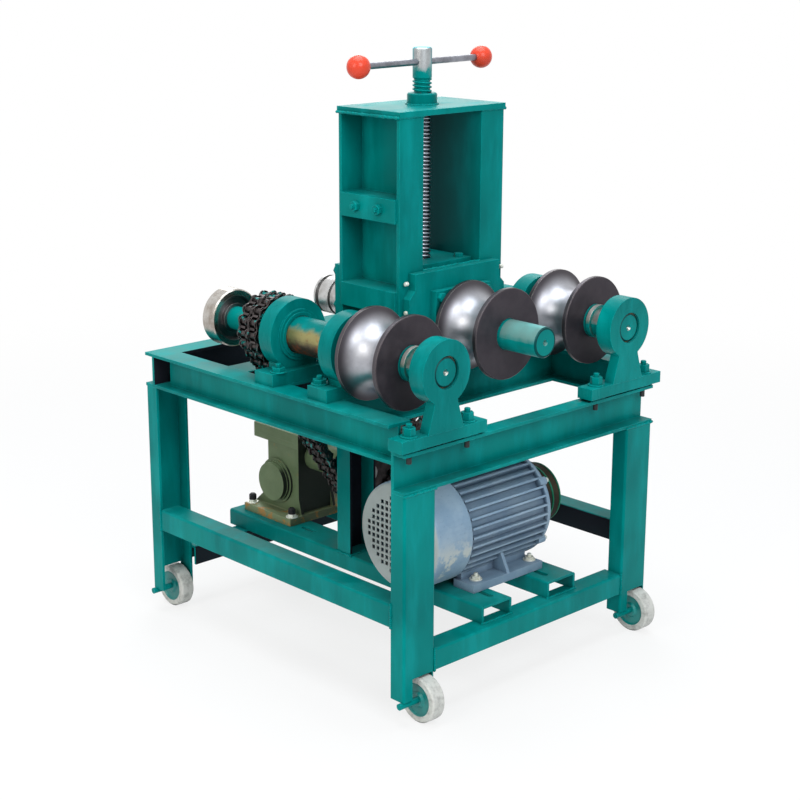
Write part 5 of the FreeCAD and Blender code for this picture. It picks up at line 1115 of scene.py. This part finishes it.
motor_axis = middle_of("motor_end_bells")
collar_outline = [(0, BELL), (0, FIN_TIP - 0.003), (0.0006, FIN_TIP - 0.0008), (0.002, FIN_TIP),
                  (0.004, FIN_TIP - 0.0008), (0.0055, FIN_TIP - 0.004), (0.0055, BELL)]
set_out("motor_collar", [(drive_end - 0.002, motor_axis.y, motor_axis.z)], collar_outline, motor_paint,
        "motor_paint", 72, ALONG_X, ring=True)
lugs = [(drive_end - 0.008, motor_axis.y + LUG_REACH * math.cos(math.radians(angle)),
         motor_axis.z + LUG_REACH * math.sin(math.radians(angle))) for angle in LUG_ANGLES]
set_out("motor_lugs", lugs, button(0.0068, LUG_LENGTH, 0.002), motor_paint, "motor_paint", 16, ALONG_X)
lug_bolts = [(x + LUG_LENGTH, y, z) for x, y, z in lugs]
set_out("motor_lug_bolts", lug_bolts, button(0.0042, 0.005), zinc, "zinc", 6, ALONG_X)

# %% [markdown]
# ## Weld beads
#
# The frame is welded by hand. Each bead is a row of overlapping flattened drops along a joint, with a
# little chance in their size. The joints are lines between points that come from the pieces' boxes.

# %% Weld beads
BEAD = 0.0028
BEAD_STEP = 0.0030


def bead_tree(name, joints, body):
    """Drops along lines, given as pairs of points."""
    points = [point for joint in joints for point in joint]
    edges = [(2 * k, 2 * k + 1) for k in range(len(joints))]
    tree = Growth(name)
    step = tree.given("Drop spacing", "Float", BEAD_STEP)
    radius = tree.given("Drop radius", "Float", BEAD)
    lines = tree.new("GeometryNodeMeshToCurve", Mesh=tree.base)
    spaced = tree.new("GeometryNodeCurveToPoints", {"mode": "LENGTH"}, Curve=lines, Length=step)
    drop = tree.new("GeometryNodeMeshUVSphere", Segments=8, Rings=5, Radius=radius)
    scale = tree.new("ShaderNodeCombineXYZ", X=tree.chance(0.75, 1.2, 1), Y=tree.chance(0.75, 1.2, 2),
                     Z=tree.chance(0.7, 1.15, 3))
    drops = tree.real(tree.copies(spaced, drop, Scale=scale))
    smooth = tree.new("GeometryNodeSetShadeSmooth", Geometry=drops)
    return tree.grow(name, plain_mesh(f"{name}_joints", points, edges=edges), smooth,
                     weld_enamel, body, "green_paint")


def around(middle, radius, height, steps=24):
    """A ring of short lines about a vertical axis."""
    ring = [(middle.x + radius * math.cos(2 * math.pi * k / steps),
             middle.y + radius * math.sin(2 * math.pi * k / steps), height) for k in range(steps)]
    return list(zip(ring, ring[1:] + ring[:1]))


weld_enamel = enamel("weld_enamel", dust=0.0, gloss=0.2)
leg_low, leg_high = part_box("legs")
bar_low, bar_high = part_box("stretchers")
rail_low, rail_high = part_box("base_rails")
column_low, column_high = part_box("tower_columns")
post_low, post_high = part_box("post")
LEG_WIDE = 0.063
LEG_DEEP = 0.028
FRONT_BAR_TOP = 0.109
FRONT_LEG_TOP = 0.360
SIDE_BAR_LOW = 0.1527
RAIL_WIDE = 0.066
COLUMN_WIDE = 0.053
SHOULDER = 0.062


def seam(start, **end):
    """A straight joint, to the place that differs from the start in the axes given."""
    return start, tuple(end.get(letter, value) for letter, value in zip("xyz", start))


joints = []
for side in (-1, 1):
    outer = side * leg_high.x
    inner = side * (leg_high.x - LEG_WIDE)
    for face in (leg_low.y, leg_high.y):
        joints.append(seam((inner, face, bar_low.z), z=FRONT_BAR_TOP))
        joints.append(seam((outer, face - math.copysign(LEG_DEEP, face), SIDE_BAR_LOW), z=bar_high.z))
    joints.append(seam((outer, leg_low.y, FRONT_LEG_TOP), x=inner))
    corner = (side * column_high.x, column_low.y, column_high.z)
    joints.append(seam(corner, y=column_high.y))
    joints.append(seam(corner, x=side * (column_high.x - COLUMN_WIDE)))
for start in (rail_low.x, rail_high.x - RAIL_WIDE):
    joints.append(seam((start, rail_low.y, FRONT_BAR_TOP), x=start + RAIL_WIDE))
joints += [seam(tuple(post_low), x=post_high.x), seam(tuple(post_low), y=post_high.y)]
joints += around(screw_middle, size_of("screw_boss").x / 2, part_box("screw_boss")[0].z)
bead_tree("frame_welds", joints, "frame")
plate_low, plate_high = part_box("carriage_front_plate")
bead_tree("carriage_weld", [seam((-SHOULDER, plate_high.y, plate_high.z), x=SHOULDER)], "carriage")

# %% Bolts through the columns and in the front plate
def both_ends(*steps):
    """Outline that is the same at both ends, from its outermost (height, radius) step inwards."""
    low = [(-height, radius) for height, radius in steps]
    return [(low[0][0], 0), *low, *steps[::-1], (steps[0][0], 0)]


NUT = both_ends((0.0115, 0.0042), (0.0070, 0.0042), (0.0070, 0.0080), (0.0062, 0.0086))
GRUB = both_ends((0.0030, 0.0026), (0.0024, 0.0034))
COLUMN_BOLT_ROW = 0.0255
SCREW_DROPS = (0.014, 0.059)
bolt_middle = middle_of("column_bolts")
column_nuts = set_out("column_nuts", [
    (side * column_high.x, bolt_middle.y + row * COLUMN_BOLT_ROW, bolt_middle.z)
    for side in (-1, 1) for row in (-1, 1)], NUT, cast_enamel, "green_paint", 6, ALONG_X)
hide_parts("column_bolts")
set_out("plate_screws", [(side * plate_high.x, (plate_low.y + plate_high.y) / 2, plate_high.z - drop)
                         for side in (-1, 1) for drop in SCREW_DROPS], GRUB, zinc, "zinc", 12, ALONG_X,
        body="carriage")
print("bolts on columns and plate")

# %% [markdown]
# ## Camera and light
#
# The camera is a real lens at a real place, so the proportions of near and far match. The light is
# soft: a big panel over the camera's shoulder, a weaker one on the left, one behind and one above.
# The world is white only where a camera or a reflection sees it, and pale grey for the light it gives.

# %% Camera
CAMERA_PLACE = (-1.8163, -1.9089, 1.1221)
CAMERA_TURN = math.radians(43.07)
CAMERA_DROP = math.radians(14.98)
LENS = 74.43
FRAMING = 0.0225

camera_data = bpy.data.cameras.new("camera")
camera = new_object("camera", camera_data)
camera_data.lens = LENS
camera_data.sensor_width = 36
camera_data.shift_x = FRAMING
camera_data.shift_y = -FRAMING
camera.location = CAMERA_PLACE
heading = Vector((math.sin(CAMERA_TURN) * math.cos(CAMERA_DROP),
                  math.cos(CAMERA_TURN) * math.cos(CAMERA_DROP), -math.sin(CAMERA_DROP)))
camera.rotation_euler = heading.to_track_quat("-Z", "Y").to_euler()
bpy.context.scene.camera = camera
print("camera", round(math.degrees(CAMERA_TURN), 1), "degrees round")


# %% World
def seen_directly(tree):
    """1 for rays from the camera, a mirror or glass."""
    rays = tree.add("ShaderNodeLightPath").outputs
    return tree.math("MAXIMUM", tree.math("MAXIMUM", rays["Is Camera Ray"], rays["Is Glossy Ray"]),
                     rays["Is Transmission Ray"])


AMBIENT = 0.18
world = bpy.data.worlds.new("studio")
bpy.context.scene.world = world
world.use_nodes = True
sky = Tree(world.node_tree)
background = world.node_tree.nodes["Background"]
background.inputs["Color"].default_value = (1, 1, 1, 1)
spread = sky.new("ShaderNodeMapRange", To_Min=AMBIENT, Value=seen_directly(sky))
sky.put(background.inputs["Strength"], spread)
print("world gives", AMBIENT, "of the white that it shows")

# %% Lamps
AIM = Vector((0, 0, 0.45))


def panel(name, place, side, power, tint):
    data = bpy.data.lights.new(name, "AREA")
    data.shape = "SQUARE"
    data.size = side
    data.energy = power
    data.color = tint
    lamp = new_object(name, data)
    lamp.location = place
    lamp.rotation_euler = (AIM - Vector(place)).to_track_quat("-Z", "Y").to_euler()


panel("key_panel", (-1.2, -3.1, 2.5), 2.0, 82, (0.97, 1.0, 1.02))
panel("left_panel", (-3.2, -0.2, 1.9), 1.8, 42, (1.02, 1.0, 0.93))
panel("back_panel", (1.9, 2.2, 2.2), 1.8, 28, (1.0, 1.0, 1.0))
panel("top_panel", (0.0, 0.1, 3.1), 2.4, 84, (0.94, 1.0, 1.05))
print("four panels")

# %% Floor
FLOOR_HALF = 30.0
GLOW_NEAR = 0.80
GLOW_RANGE = (1.0, 2.6)
corners = [(x * FLOOR_HALF, y * FLOOR_HALF, 0) for x, y in ((-1, -1), (1, -1), (1, 1), (-1, 1))]
floor_mesh = plain_mesh("floor", corners, [(0, 1, 2, 3)])
floor = new_object("floor", floor_mesh)
floor_finish = Finish("floor")
floor_finish.set(base_color=(0.8, 0.8, 0.8), roughness=0.9, specular_ior_level=0.1)
seen = seen_directly(floor_finish)
glow = floor_finish.new("ShaderNodeEmission", Color=(1, 1, 1), Strength=seen)
far = floor_finish.between(floor_finish.vector("LENGTH", floor_finish.where), *GLOW_RANGE)
share = floor_finish.times(seen, floor_finish.fade(far, GLOW_NEAR, 1.0))
mixed = floor_finish.new("ShaderNodeMixShader", _0=share, _1=floor_finish.shader.outputs[0],
                         _2=glow)
floor_finish.put(floor_finish.output.inputs["Surface"], mixed)
floor_mesh.materials.append(floor_finish.material)
print("floor laid")

# %% View transform
bpy.context.scene.view_settings.view_transform = "Standard"
